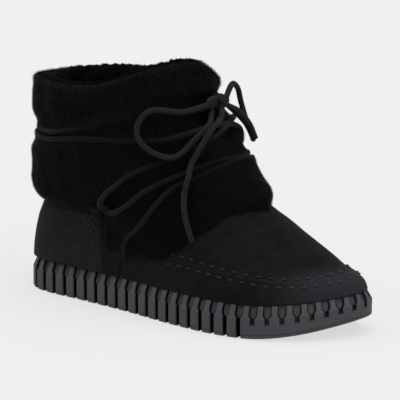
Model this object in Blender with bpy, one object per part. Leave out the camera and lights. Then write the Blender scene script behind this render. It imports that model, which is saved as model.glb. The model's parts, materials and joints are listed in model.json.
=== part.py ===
"""Women's pull-on ankle boot for the right foot, standing empty on its sole.

Frame: +X towards the toe, +Y towards the medial side (the inner side of the foot), +Z up.
The origin is on the floor under the middle of the heel.  The tables below are in millimetres,
with x measured from the back of the sole, and to_world() turns them into the frame's metres.

The suede lower and the shaft's inner wall are one hollow upper, lofted through tilted rings.
Every overlay is an offset of that same surface, so the pieces sit on each other.
"""

from collections import namedtuple
from math import acos, cos, degrees, pi, radians, sin

import bmesh
import bpy
import numpy as np
from mathutils import Vector
from mathutils.bvhtree import BVHTree

# ---------------------------------------------------------------- driving dimensions, mm
SOLE_LENGTH = 272.0          # outsole, heel to toe
SOLE_THICKNESS = 22.9        # heel to ball
TOE_SPRING = 12.1            # rise of the sole's underside at the toe
SPRING_START = 205.0         # where the toe spring begins
TOP_SPRING = 0.6             # the sole's top rises by this share of the toe spring
HEEL_LIFT = 2.0              # rounding of the underside at the very back
HEEL_LIFT_LENGTH = 25.0
HEEL_REST = 31.0             # x of the flat spot under the heel, the frame's origin

RIB_COUNT = 62               # ribs round the whole side of the sole
SLOT_WIDTH = 2.3             # gap between two ribs
SLOT_DEPTH = 3.8
RIB_SHOULDER = 0.62          # share of the height where a rib's bevelled head begins
HEAD_SHARE = 0.70            # width of a head at its top, as a share of the rib
HEAD_INSET = 3.2             # how far the bevel leans in
GROOVE_DEPTH = 1.8           # the slots run on across the underside as shallow grooves
BEVEL_DROP = 1.4             # the bevel ends this far below the sole's top
FEATHER = 1.6                # lip inside the heads, under the suede
BOTTOM_EDGE = (0.9, 1.6)     # chamfer of the bottom edge, inwards and upwards
BAND_FROM = 214.0            # round the toe, in front of this x, the slots stop at a smooth band
BAND_BEHIND = 13.0           # and so do those round the heel, behind this x
BAND_TOP = 0.36              # top of the band, as a share of the height
BAND_MARK = 0.5              # depth of the slot's faint line down the band

WALL = 2.6                   # suede or backing with its lining cloth
SEAM_RISE = 1.9              # the moccasin seam's raised ridge over the vamp
WALL_RISE = 0.9              # the wall under it stands a little proud
SEAM_START = 108.0           # angle where the seam comes out from under the fur
SEAM_FADE = 14.0
FUR = 9.6                    # body of the pile on the shaft's rolls, without the loose tips
FUR_HEEL = 2.4               # extra on the lower roll behind the heel
FUR_LOW = 4.6                # pile where it runs down onto the foot
FUR_THINNEST = 2.4           # where the lace cinches it
FUR_ROLL = 11.0              # length over which the pile rounds in to its lower edge
FUR_LOW_TOP = 52.0           # height where the low pile begins to thicken
FUR_GROWTH = 30.0            # and over how much height it does
ROLL_TOP = 112.0             # top of the heel's lower roll
ROLL_ANGLE = 70.0            # the roll runs round the heel this far to each side
COUNTER = 1.3                # thickness of the heel counter's suede
INSOLE = 4.0
INSOLE_PLAY = 1.3            # free room between the insole's edge and the wall
INSOLE_POINTS = 52
GAP = 0.3                    # between pieces that touch

LACE = 4.0                   # round cord
KEEPER_CORD = 1.8
KEEPER_PLAY = 1.2            # room round the lace inside its keeper
KEEPER_REACH = 4.0           # straight part of the keeper's loop
KEEPER_PULL = (-1.0, 0.0, -0.25)    # towards the seam it is sewn into
KEEPER_POINTS = 6            # points round each end of the loop

# ---------------------------------------------------------------- tables
SolePoint = namedtuple("SolePoint", "x lateral medial")
SOLE_OUTLINE = [
    SolePoint(12, 27.2, 27.2),
    SolePoint(30, 33.6, 34.2),
    SolePoint(60, 36.5, 33.8),
    SolePoint(105, 42.2, 33.0),
    SolePoint(150, 50.1, 42.7),
    SolePoint(188, 53.3, 48.4),
    SolePoint(220, 47.9, 41.2),
    SolePoint(246, 32.5, 33.4),
    SolePoint(263, 12.5, 26.5),
]
TOE_TIP_Y = 8.5

# One row for each ring of the upper, from the sole to the collar.  h is the height over the
# sole's top: at the back, half-way along and at the front.  oval turns the plan of the foot
# into the plan of the shaft.
Ring = namedtuple("Ring", "back_x back_h mid_h front_x front_h breadth oval")
RINGS = [
    Ring(2.0, 0.0, 0.0, 266.8, 0.0, 47.4, 0.0),          # feather edge
    Ring(3.0, 9.0, 8.0, 265.6, 6.5, 48.2, 0.0),
    Ring(4.9, 20.0, 15.5, 260.5, 12.5, 47.5, 0.0),       # moccasin seam
    Ring(7.3, 30.0, 22.0, 249.5, 19.0, 45.5, 0.02),
    Ring(10.0, 37.0, 29.5, 233.0, 29.5, 43.0, 0.08),
    Ring(12.0, 43.0, 39.0, 209.0, 44.5, 41.0, 0.25),
    Ring(12.5, 52.0, 51.0, 188.0, 56.0, 40.0, 0.5),
    Ring(12.0, 66.0, 67.5, 173.0, 71.5, 39.0, 0.78),
    Ring(11.5, 84.0, 87.0, 160.5, 90.0, 38.5, 0.95),
    Ring(11.0, 103.0, 108.0, 147.5, 113.0, 38.0, 1.0),
    Ring(10.0, 125.0, 132.0, 140.0, 147.5, 38.0, 1.0),   # collar
]
SEAM_RING = 2
# How far the soft collar's rim rises or sinks, against the angle round the shaft.
Rise = namedtuple("Rise", "angle height")
COLLAR_RISE = [
    Rise(0, 0.5), Rise(40, 3.5), Rise(90, -1.5), Rise(138, 4.5), Rise(165, 3.0), Rise(186, -8.0),
    Rise(205, -14.5), Rise(240, -7.5), Rise(290, -1.0), Rise(330, 0.0),
]
# The ring level that the moccasin seam follows: low round the toe, rising under the fur.
SeamLevel = namedtuple("SeamLevel", "angle level")
SEAM_PATH = [
    SeamLevel(80, 2.0), SeamLevel(104, 3.1), SeamLevel(118, 2.8), SeamLevel(128, 2.5),
    SeamLevel(138, 2.15), SeamLevel(150, 2.0), SeamLevel(165, 2.1), SeamLevel(180, 2.2),
]
SEAM_REACH = (1.5, 2.6)      # ring levels below and above the seam over which rows follow it
COLUMN_COUNT = 46            # columns of the loft round the foot
COLUMN_CROWDING = 5.5        # degrees by which they draw together at heel and toe
RISE_START = 8.0             # ring above which the rise is felt
OVAL_FULLNESS = 0.12         # how far the shaft's plan is fuller than an ellipse
BREADTH_UNIT = 50.8          # mean half-breadth of the sole at the ball

# The fur's lower edge: the angle round the collar of a column of pile, and the x and height
# where that column ends.
# Angles run from the back of the heel (0) through the outer side of the foot (90) to the front.
Hem = namedtuple("Hem", "angle x height")
FUR_HEM = [
    Hem(0, 0, 64.5),
    Hem(60, 58.7, 64.5),
    Hem(78.6, 83.3, 64.5),      # over the counter
    Hem(80.6, 84.4, 42.0),      # drops in front of the counter
    Hem(98, 116, 41.5),
    Hem(110, 140, 43.5),
    Hem(128, 163, 61.0),
    Hem(148, 178, 75.0),
    Hem(165, 186, 77.0),
    Hem(180, 200, 76.0),
]
# The two lines where the lace cinches the fur: height at the heel and at the front, depth
# there, and how wide the dip is.
Cinch = namedtuple("Cinch", "back front least extra width")
UPPER_CINCH = Cinch(116.0, 146.0, 2.6, 2.0, 7.5)
LOWER_CINCH = Cinch(113.0, 106.0, 0.0, 4.4, 6.5)
CINCH_START = 115.0          # angle where the lower line sets in, towards the front
CREST = [(0.86, 3.4), (0.5, 5.2), (0.12, 3.6)]    # over the rim: share of the pile, rise
FUR_ROWS = [0, 0.045, 0.11, 0.2, 0.3, 0.38, 0.46, 0.54, 0.62, 0.7, 0.78, 0.87, 1]
FUR_INNER_ROWS = [1, 0.89, 0.78, 0.67, 0.56, 0.46, 0.37, 0.28, 0.19, 0.09, 0]
FUR_FREE = 70.0              # height above which its columns run straight up
HEM_CLEAR = 2.2              # degrees kept free beside the corners of the hem
UPPER_ROWS = [0, 0.5, 1.1, 1.6, 1.82, 1.92, 2.1, 2.22, 2.7, 3.3, 4, 4.6, 5.3, 6, 6.7, 7.4,
              8.1, 8.8, 9.4, 10]
UPPER_INNER_ROWS = [10, 9.2, 8.1, 6.8, 5.4, 4, 2.6, 1.2, 0]
SEAM_ROWS = (1.9, 2.12)      # the rows between which the seam's ridge stands
COUNTER_FRONT = 82.0         # x of the counter's front edge
COUNTER_TOP = 63.8
COUNTER_FOOT = 0.1           # ring level of its lower edge
COUNTER_EDGE = 0.6           # its edges are turned thinner by this share
COUNTER_LAST_COLUMN = 3.0    # degrees kept free before its front edge

# Half of the lace, from its anchor on the outer side to the knot.
Turn = namedtuple("Turn", "angle height lift")
KEEPER_TURN = Turn(273.5, 76.5, 3.0)
LACE_ROUTE = [
    Turn(81, 45, 0.0),
    Turn(84, 52, 0.0),
    Turn(98, 63, 0.0),
    Turn(114, 76.5, 0.0),
    Turn(126, 88, 0.4),
    Turn(146, 98, 0.3),
    Turn(163, 102.5, 0.0),
    Turn(180, 105.5, 0.0),
    Turn(200, 106, 0.0),
    Turn(222, 100, 0.0),
    Turn(246, 88, 0.4),
    Turn(258, 78.5, 0.6),
    Turn(269, 72.5, 2.0),
    KEEPER_TURN,
    Turn(270, 82.5, 2.4),
    Turn(262, 90, 0.8),
    Turn(250, 99.5, 0.0),
    Turn(235, 106.5, 0.0),
    Turn(215, 114, 0.0),
    Turn(195, 121, 0.0),
    Turn(180, 126, 0.0),
    Turn(163, 128, 0.0),
    Turn(146, 125, 0.0),
    Turn(130, 122, 0.0),
    Turn(112, 121.5, 0.0),
    Turn(92, 120.5, 0.0),
    Turn(72, 118, 0.0),
    Turn(50, 113.8, 0.0),
    Turn(24, 112.6, 0.0),
    Turn(0, 115.5, 0.0),
    Turn(-24, 118.4, 0.0),
    Turn(-53, 119.0, 0.0),
    Turn(-84, 128, 0.0),
    Turn(-106, 135, 0.0),
    Turn(-140, 140.0, 0.0),
    Turn(-166, 142.5, 0.0),
]
LACE_STEP = 10.5
LACE_SIDES = 6

KNOT_CENTRE = (156.2, 0.0, 148.5)
KNOT_RADII = (5.0, 7.4, 5.2)
# The bow, each stretch from the knot outwards.
LOOP_LATERAL = [
    (156.2, -8.2, 149.0), (156.8, -15.5, 148.4), (153.0, -24.0, 146.4), (146.5, -31.5, 144.5),
    (139.5, -37.0, 145.5), (132.0, -41.5, 146.0), (126.5, -45.5, 143.5), (122.5, -48.0, 137.0),
    (121.5, -49.0, 130.5), (125.0, -50.0, 125.0), (130.5, -48.0, 119.5), (137.0, -45.0, 116.0),
    (146.0, -43.0, 115.0), (152.0, -39.5, 118.0), (155.5, -34.5, 123.5), (158.8, -29.5, 129.0),
    (162.0, -24.4, 134.0), (161.2, -18.0, 138.0), (157.5, -12.5, 141.0), (155.6, -9.0, 143.4),
]
LOOP_MEDIAL = [
    (155.5, 8.2, 149.5), (154.0, 13.0, 153.0), (152.5, 20.0, 157.0), (151.5, 27.5, 152.5),
    (151.0, 32.0, 142.5), (153.0, 34.5, 131.5), (158.0, 34.0, 122.0), (163.0, 30.0, 117.5),
    (166.5, 23.0, 122.5), (166.0, 16.5, 131.5), (162.5, 10.5, 139.0), (158.8, 6.2, 144.4),
]
END_LATERAL = [
    (159.3, -3.3, 143.4), (163.8, -9.0, 141.0), (167.0, -17.0, 138.2), (167.6, -25.5, 134.6),
    (166.2, -31.5, 128.0), (162.8, -34.5, 120.0), (159.5, -38.0, 111.5), (160.5, -43.5, 102.0),
    (159.0, -45.5, 91.5), (159.5, -46.5, 82.0), (162.0, -47.5, 73.0), (166.0, -46.0, 60.0),
]
END_MEDIAL = [
    (161.3, 2.0, 145.6), (166.5, 7.5, 141.5), (170.5, 14.0, 132.5), (171.5, 20.5, 121.0),
]
CORD_STEP = 9.5


# ---------------------------------------------------------------- small helpers
def to_world(point):
    return ((point[0] - HEEL_REST) / 1000.0, point[1] / 1000.0, point[2] / 1000.0)


def smoothstep(value):
    value = np.clip(value, 0.0, 1.0)
    return value * value * (3.0 - 2.0 * value)


def hermite(start, end, slope_start, slope_end, share):
    square = share * share
    cube = square * share
    return ((2 * cube - 3 * square + 1) * start + (cube - 2 * square + share) * slope_start
            + (3 * square - 2 * cube) * end + (cube - square) * slope_end)


def looped_curve(knots, values, period):
    """A smooth periodic function through (knot, value) pairs, knots rising within one period."""
    knots = np.array(knots, float)
    values = np.array(values, float)
    before = np.roll(knots, 1)
    before[0] -= period
    after = np.roll(knots, -1)
    after[-1] += period
    slopes = (np.roll(values, -1) - np.roll(values, 1)) / (after - before)

    def read(place):
        place = place % period
        index = int(np.searchsorted(knots, place, side="right")) - 1
        following = (index + 1) % len(knots)
        span = after[index] - knots[index]
        share = ((place - knots[index]) % period) / span
        return hermite(values[index], values[following], slopes[index] * span,
                       slopes[following] * span, share)

    return read


def open_curve(knots, values):
    """A smooth function through (knot, value) pairs with free ends."""
    knots = np.array(knots, float)
    values = np.array(values, float)
    slopes = np.gradient(values, knots)

    def read(place):
        place = min(max(place, knots[0]), knots[-1])
        index = min(int(np.searchsorted(knots, place, side="right")) - 1, len(knots) - 2)
        span = knots[index + 1] - knots[index]
        share = (place - knots[index]) / span
        return hermite(values[index], values[index + 1], slopes[index] * span,
                       slopes[index + 1] * span, share)

    return read


def smooth_route(points, step):
    """Points a step apart along a smooth curve through the given points."""
    points = np.array(points, float)
    chords = np.linalg.norm(np.diff(points, axis=0), axis=1)
    marks = np.concatenate([[0.0], np.cumsum(np.sqrt(chords))])
    axes = [open_curve(marks, points[:, axis]) for axis in range(3)]
    fine = np.linspace(0.0, marks[-1], 40 * len(points))
    track = np.array([[axis(mark) for axis in axes] for mark in fine])
    run = np.concatenate([[0.0], np.cumsum(np.linalg.norm(np.diff(track, axis=0), axis=1))])
    count = max(2, int(round(run[-1] / step)))
    wanted = np.linspace(0.0, run[-1], count + 1)
    return np.array([[np.interp(mark, run, track[:, axis]) for axis in range(3)]
                     for mark in wanted])


def clear_scene():
    for thing in list(bpy.data.objects):
        bpy.data.objects.remove(thing, do_unlink=True)


def material(name, colour, roughness):
    made = bpy.data.materials.new(name)
    made.use_nodes = True
    shader = made.node_tree.nodes["Principled BSDF"]
    shader.inputs["Base Color"].default_value = (*colour, 1.0)
    shader.inputs["Roughness"].default_value = roughness
    shader.inputs["Metallic"].default_value = 0.0
    made.diffuse_color = (*colour, 1.0)
    return made


def mesh_object(name, points, faces, finish, sharp_angle=40.0):
    mesh = bpy.data.meshes.new(name)
    work = bmesh.new()
    corners = [work.verts.new(to_world(point)) for point in points]
    for face in faces:
        work.faces.new([corners[index] for index in face])
    bmesh.ops.recalc_face_normals(work, faces=work.faces)
    bmesh.ops.triangulate(work, faces=work.faces)
    work.to_mesh(mesh)
    work.free()
    mesh.materials.append(material(name + "_finish", *finish))
    mesh.shade_smooth()
    mesh.set_sharp_from_angle(angle=radians(sharp_angle))
    made = bpy.data.objects.new(name, mesh)
    bpy.context.scene.collection.objects.link(made)
    return made


def banded(rings, close_rings):
    """Quads between closed rings of equal count, the last ring joined to the first if asked."""
    count = len(rings[0])
    points = [point for ring in rings for point in ring]
    faces = []
    last = len(rings) if close_rings else len(rings) - 1
    for row in range(last):
        low = row * count
        high = ((row + 1) % len(rings)) * count
        for column in range(count):
            after = (column + 1) % count
            faces.append((low + column, low + after, high + after, high + column))
    return points, faces


# ---------------------------------------------------------------- sole surfaces
def outline_reader():
    """Half-breadth of the sole against its turn: 0 at the heel, 1 at the toe, 2 at the heel."""
    rows = [(acos(1 - 2 * row.x / SOLE_LENGTH) / pi, row) for row in SOLE_OUTLINE]
    knots = [0.0] + [turn for turn, row in rows] + [1.0]
    knots += [2.0 - turn for turn, row in reversed(rows)]
    values = [0.0] + [-row.lateral for turn, row in rows] + [TOE_TIP_Y]
    values += [row.medial for turn, row in reversed(rows)]
    return looped_curve(knots, values, 2.0)


sole_breadth = outline_reader()


def sole_outline(turn):
    return SOLE_LENGTH * (1 - cos(pi * turn)) / 2, float(sole_breadth(turn))


def sole_bottom(x):
    spring = TOE_SPRING * np.clip((x - SPRING_START) / (SOLE_LENGTH - SPRING_START), 0, 1) ** 2
    lift = HEEL_LIFT * np.clip((HEEL_LIFT_LENGTH - x) / HEEL_LIFT_LENGTH, 0, 1) ** 2
    return spring + lift


def sole_top(x):
    spring = TOE_SPRING * np.clip((x - SPRING_START) / (SOLE_LENGTH - SPRING_START), 0, 1) ** 2
    return SOLE_THICKNESS + TOP_SPRING * spring


def outline_by_length():
    """Outline point and outward direction against the share of the outline's length."""
    fine = 1440
    track = np.array([sole_outline(2.0 * index / fine) for index in range(fine + 1)])
    run = np.concatenate([[0.0], np.cumsum(np.linalg.norm(np.diff(track, axis=0), axis=1))])
    perimeter = run[-1]

    def read(mark):
        mark = mark % perimeter
        here = np.array([np.interp(mark, run, track[:, axis]) for axis in (0, 1)])
        ahead = np.array([np.interp((mark + 0.8) % perimeter, run, track[:, axis]) for axis in (0, 1)])
        behind = np.array([np.interp((mark - 0.8) % perimeter, run, track[:, axis]) for axis in (0, 1)])
        along = ahead - behind
        outward = np.array([along[1], -along[0]]) / np.linalg.norm(along)
        return here, outward

    return read, perimeter


def ladder(count, offset, flip):
    """Faces across a ring, from each point to the one at the same distance on the other side.

    The ring starts at the two ends of the heel's rib, so its first and last points are a pair.
    """
    faces = []
    for index in range(count // 2 - 1):
        low, high = offset + index, offset + index + 1
        low_pair, high_pair = offset + count - 1 - index, offset + count - 2 - index
        faces.append((low, high, high_pair, low_pair) if flip else (low, low_pair, high_pair, high))
    return faces


def make_outsole():
    """Ribbed cup: slots down its side that run on under the tread as shallow grooves."""
    read, perimeter = outline_by_length()
    pitch = perimeter / RIB_COUNT
    half_rib = (pitch - SLOT_WIDTH) / 2
    edge_in, edge_up = BOTTOM_EDGE
    Level = namedtuple("Level", "share rise inset slot_share slot_rise slot_inset head")
    levels = [
        Level(0.0, 0.0, edge_in, 0.0, GROOVE_DEPTH, SLOT_DEPTH, 1.0),
        Level(0.0, edge_up, 0.0, 0.0, edge_up, SLOT_DEPTH, 1.0),
        Level(RIB_SHOULDER, 0.0, 0.0, RIB_SHOULDER, 0.0, SLOT_DEPTH, 1.0),
        Level(1.0, -BEVEL_DROP, HEAD_INSET, 1.0, -BEVEL_DROP, SLOT_DEPTH + 0.9, HEAD_SHARE),
        Level(1.0, 0.0, HEAD_INSET + FEATHER, 1.0, 0.0, SLOT_DEPTH + 1.4, HEAD_SHARE),
    ]
    banded_levels = [
        levels[0]._replace(slot_rise=0.0, slot_inset=edge_in + BAND_MARK),
        levels[1]._replace(slot_share=BAND_TOP, slot_rise=0.0, slot_inset=BAND_MARK),
    ] + levels[2:]
    rings = []
    for plain, banded_level in zip(levels, banded_levels):
        ring = []
        for rib in range(RIB_COUNT):
            slot_x = read((rib + 0.5) * pitch)[0][0]
            level = banded_level if slot_x > BAND_FROM or slot_x < BAND_BEHIND else plain
            half = half_rib * level.head
            slot = pitch - half
            for shift, on_face in ((half, True), (half, False), (slot, False), (slot, True)):
                here, outward = read(rib * pitch + shift)
                x, y = here - outward * (level.inset if on_face else level.slot_inset)
                low, high = sole_bottom(x), sole_top(x)
                share = level.share if on_face else level.slot_share
                rise = level.rise if on_face else level.slot_rise
                ring.append((x, y, low + (high - low) * share + rise))
        rings.append(ring)
    points, faces = banded(rings, False)
    count = len(rings[0])
    faces += ladder(count, 0, False)
    faces += ladder(count, count * (len(rings) - 1), True)
    return mesh_object("outsole", points, faces, ((0.046, 0.045, 0.05), 0.55), 30.0)


# ---------------------------------------------------------------- the last's surface
collar_rise = looped_curve([row.angle for row in COLLAR_RISE],
                           [row.height for row in COLLAR_RISE], 360.0)
ring_columns = [open_curve(range(len(RINGS)), [row[column] for row in RINGS])
                for column in range(len(Ring._fields))]


def skin(angle, level):
    """A point of the upper's outer surface: angle round the foot, level along the rings."""
    row = Ring(*[column(level) for column in ring_columns])
    turn = (angle / 180.0) % 2.0
    share = (1 - cos(pi * turn)) / 2
    x = row.back_x + (row.front_x - row.back_x) * share
    foot = float(sole_breadth(turn)) / BREADTH_UNIT
    swing = sin(pi * turn)
    oval = -swing * (1 + OVAL_FULLNESS * (1 - swing * swing))
    y = row.breadth * ((1 - row.oval) * foot + row.oval * oval)
    h = (row.back_h * 2 * (share - 0.5) * (share - 1) + row.mid_h * 4 * share * (1 - share)
         + row.front_h * 2 * share * (share - 0.5))
    h += float(collar_rise(angle) * smoothstep((level - RISE_START) / (len(RINGS) - 1 - RISE_START)))
    return np.array([x, y, float(sole_top(x)) + GAP + h])


def outward(angle, level):
    top = len(RINGS) - 1
    low, high = max(level - 0.02, 0.0), min(level + 0.02, top)
    across = skin(angle + 0.8, level) - skin(angle - 0.8, level)
    along = skin(angle, high) - skin(angle, low)
    normal = np.cross(across, along)
    return normal / np.linalg.norm(normal)


def offset_skin(angle, level, distance, flat=False):
    normal = outward(angle, level)
    if flat:
        normal = normal * (1, 1, 0)
        normal = normal / np.linalg.norm(normal)
    return skin(angle, level) + normal * distance


FINE_LEVELS = np.linspace(0, len(RINGS) - 1, 121)


def level_at(angle, height):
    heights = [skin(angle, level)[2] for level in FINE_LEVELS]
    return float(np.interp(height, heights, FINE_LEVELS))


def angle_at(level, x):
    row = Ring(*[column(level) for column in ring_columns])
    share = min(max((x - row.back_x) / (row.front_x - row.back_x), 0.0), 1.0)
    return degrees(acos(1 - 2 * share))


def angle_over(x, height):
    """Angle of the surface point at this x and height."""
    angle = 90.0
    for attempt in range(6):
        angle = angle_at(level_at(angle, height), x)
    return angle


def seam_relief(angle, level):
    """The moccasin wall stands a little proud and ends in the raised, stitched seam."""
    turn = min(angle % 360, 360 - angle % 360)
    window = float(smoothstep((turn - SEAM_START) / SEAM_FADE))
    low, high = SEAM_ROWS
    if level < low:
        return window * WALL_RISE
    return window * SEAM_RISE if level <= high else 0.0


def along_seam(angle, level):
    """The ring level of an upper's row in this column: rows near the seam rise and sink with it."""
    turn = min(angle % 360, 360 - angle % 360)
    shift = float(np.interp(turn, [row.angle for row in SEAM_PATH],
                            [row.level for row in SEAM_PATH])) - SEAM_RING
    reach = SEAM_REACH[0] if level < SEAM_RING else SEAM_REACH[1]
    return level + shift * max(1.0 - abs(level - SEAM_RING) / reach, 0.0)


def columns_round():
    """Angles of the loft's columns, closer where the heel and the toe curve most."""
    plain = [360.0 * index / COLUMN_COUNT for index in range(COLUMN_COUNT)]
    return [angle - COLUMN_CROWDING * sin(2 * radians(angle)) for angle in plain]


COLUMNS = columns_round()


def make_upper():
    ends = (UPPER_ROWS[0], UPPER_ROWS[-1])
    rings = []
    for level in UPPER_ROWS:
        rings.append([offset_skin(angle, along_seam(angle, level), seam_relief(angle, level),
                                  level in ends) for angle in COLUMNS])
    for level in UPPER_INNER_ROWS:
        rings.append([offset_skin(angle, level, -WALL, level in ends) for angle in COLUMNS])
    points, faces = banded(rings, True)
    return mesh_object("upper", points, faces, ((0.012, 0.012, 0.014), 0.95))


def make_insole():
    inset = WALL + INSOLE_PLAY
    rows = [(inset, 0.0), (inset, INSOLE - 1.0), (inset + 1.2, INSOLE)]
    rings = []
    for distance, rise in rows:
        ring = []
        for index in range(INSOLE_POINTS):
            angle = 360.0 * (index + 0.5) / INSOLE_POINTS
            point = offset_skin(angle, 0.0, -distance, True)
            ring.append((point[0], point[1], float(sole_top(point[0])) + GAP + rise))
        rings.append(ring)
    points, faces = banded(rings, False)
    count = len(rings[0])
    faces += ladder(count, 0, False)
    faces += ladder(count, count * 2, True)
    return mesh_object("insole", points, faces, ((0.02, 0.02, 0.022), 0.95))


# ---------------------------------------------------------------- fur
def fur_thickness(angle, height, run):
    """Pile over the wall: full on the rolls, thin in the two cinched lines and at the hem."""
    turn = min(angle % 360, 360 - angle % 360)
    share = (1 - cos(radians(turn))) / 2
    body = FUR_LOW + (FUR - FUR_LOW) * float(smoothstep((height - FUR_LOW_TOP) / FUR_GROWTH))
    body += FUR_HEEL * float(smoothstep((ROLL_ANGLE - turn) / 40)
                             * smoothstep((ROLL_TOP - height) / 12))
    upper, lower = UPPER_CINCH, LOWER_CINCH
    depths = (upper.least + upper.extra * abs(cos(radians(turn))),
              lower.least + lower.extra * float(smoothstep((turn - CINCH_START) / 35)))
    for line, depth in zip((upper, lower), depths):
        middle = line.back + (line.front - line.back) * share
        body -= depth * np.exp(-((height - middle) / line.width) ** 2)
    rounding = 1 - min(run / FUR_ROLL, 1.0)
    rolled = max(1 - rounding ** 2, 0.05) ** 0.5
    return max(body, FUR_THINNEST) * rolled


def hem_columns():
    marks = [row.angle for row in FUR_HEM]
    edges = [angle_over(row.x, row.height) for row in FUR_HEM]
    heights = [row.height for row in FUR_HEM]
    corners = [FUR_HEM[2].angle, FUR_HEM[3].angle]
    half = [angle for angle in COLUMNS if angle <= 180.01]
    half = [angle for angle in half
            if min(abs(angle - corner) for corner in corners) > HEM_CLEAR]
    half = sorted(half + corners)
    mirrored = [360 - angle for angle in reversed(half) if 0 < angle < 179.9]
    rows = []
    for angle in half + mirrored:
        turn = min(angle, 360 - angle)
        edge = float(np.interp(turn, marks, edges))
        height = float(np.interp(turn, marks, heights))
        rows.append((angle, edge if angle <= 180 else 360 - edge, height))
    return rows


def gap_over(tree, point):
    """Signed distance from a solid's surface, in millimetres."""
    here = Vector(to_world(point))
    place, normal, index, far = tree.find_nearest(here)
    return far * 1000 if (here - place).dot(normal) >= 0 else -far * 1000


def seated(body, rings, closed):
    """Lift rows of (point, normal) so that their faces stay a gap clear of the body's faces."""
    tree = BVHTree.FromObject(body, bpy.context.evaluated_depsgraph_get())
    rows, columns = len(rings), len(rings[0])
    places = np.array([[point for point, normal in ring] for ring in rings])
    lifted = []
    for row in range(rows):
        ring = []
        for column in range(columns):
            here = places[row][column]
            lowest = GAP
            for down in (-1, 0, 1):
                for along in (-1, 0, 1):
                    beside = column + along
                    beside = beside % columns if closed else min(max(beside, 0), columns - 1)
                    other = places[min(max(row + down, 0), rows - 1)][beside]
                    lowest = min(lowest, gap_over(tree, (here + other) / 2))
            ring.append(here + rings[row][column][1] * (GAP - lowest))
        lifted.append(ring)
    return lifted


def make_fur_shaft(upper):
    columns = []
    for angle, edge, height in hem_columns():
        track = []
        free = max(FUR_FREE, height + 12.0)
        for level in np.linspace(level_at(edge, height), len(RINGS) - 1, 41):
            climb = (skin(edge, level)[2] - height) / (free - height)
            track.append((edge + (angle - edge) * min(max(climb, 0), 1), level))
        places = np.array([skin(lean, level) for lean, level in track])
        run = np.concatenate([[0], np.cumsum(np.linalg.norm(np.diff(places, axis=0), axis=1))])
        columns.append((track, places, run))

    def read(column, share):
        track, places, run = column
        mark = share * run[-1]
        lean = float(np.interp(mark, run, [row[0] for row in track]))
        level = float(np.interp(mark, run, [row[1] for row in track]))
        return lean, level, mark

    rings = []
    for share in FUR_ROWS:
        ring = []
        for column in columns:
            lean, level, mark = read(column, share)
            thickness = fur_thickness(lean, skin(lean, level)[2], mark)
            ring.append(offset_skin(lean, level, GAP + thickness, share == 1))
        rings.append(ring)
    for part, rise in CREST:
        ring = []
        for column in columns:
            lean, level, mark = read(column, 1)
            thickness = fur_thickness(lean, skin(lean, level)[2], mark)
            crest = offset_skin(lean, level, GAP + thickness * part, True)
            ring.append(crest + np.array([0, 0, rise]))
        rings.append(ring)
    inner = []
    for share in FUR_INNER_ROWS:
        ring = []
        for column in columns:
            lean, level, mark = read(column, share)
            ring.append((offset_skin(lean, level, GAP), outward(lean, level)))
        inner.append(ring)
    rings += seated(upper, inner, True)
    points, faces = banded(rings, True)
    return mesh_object("fur_shaft", points, faces, ((0.006, 0.006, 0.007), 1.0))


def make_heel_counter(upper):
    """Suede panel round the heel, from seam to seam, up to the fur."""
    front = angle_over(COUNTER_FRONT, COUNTER_TOP)
    inside = [angle for angle in COLUMNS if angle < front - COUNTER_LAST_COLUMN]
    columns = [-front] + [-angle for angle in reversed(inside[1:])] + inside + [front]
    shares = [0, 0.2, 0.4, 0.6, 0.8, 1]
    under, thickness = [], []
    for share in shares:
        row_under, row_thickness = [], []
        for column in columns:
            level = COUNTER_FOOT + (level_at(column, COUNTER_TOP) - COUNTER_FOOT) * share
            at_front = abs(column) == front
            angle = np.sign(column) * angle_at(level, COUNTER_FRONT) if at_front else column
            row_under.append((offset_skin(angle, level, GAP), outward(angle, level)))
            row_thickness.append(COUNTER * COUNTER_EDGE if at_front or share in (0, 1) else COUNTER)
        under.append(row_under)
        thickness.append(row_thickness)
    inner = seated(upper, under, False)
    width, height = len(columns), len(shares)
    grid = [(row, column) for row in range(height) for column in range(width)]
    points = [inner[row][column] + under[row][column][1] * thickness[row][column]
              for row, column in grid]
    points += [inner[row][column] for row, column in grid]
    faces = []
    back = width * height
    for row in range(height - 1):
        for column in range(width - 1):
            here = row * width + column
            faces.append((here, here + 1, here + width + 1, here + width))
            faces.append((back + here, back + here + width, back + here + width + 1, back + here + 1))
    rim = list(range(width))
    rim += [row * width + width - 1 for row in range(1, height)]
    rim += [(height - 1) * width + column for column in range(width - 2, -1, -1)]
    rim += [row * width for row in range(height - 2, 0, -1)]
    for here, after in zip(rim, rim[1:] + rim[:1]):
        faces.append((here, back + here, back + after, after))
    return mesh_object("heel_counter", points, faces, ((0.012, 0.012, 0.014), 0.95))


# ---------------------------------------------------------------- lace
def tube(route, radius, sides):
    """Rings of a round cord along the route, with flat ends."""
    along = np.gradient(route, axis=0)
    along /= np.linalg.norm(along, axis=1)[:, None]
    side = np.cross(along[0], (0.3, 0.2, 1.0))
    rings = []
    for centre, direction in zip(route, along):
        side = side - direction * np.dot(side, direction)
        side = side / np.linalg.norm(side)
        other = np.cross(direction, side)
        rings.append([centre + radius * (cos(2 * pi * index / sides) * side
                                         + sin(2 * pi * index / sides) * other)
                      for index in range(sides)])
    points, faces = banded(rings, False)
    faces.append(tuple(range(sides)))
    faces.append(tuple(len(points) - sides + index for index in range(sides)))
    return points, faces


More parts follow.
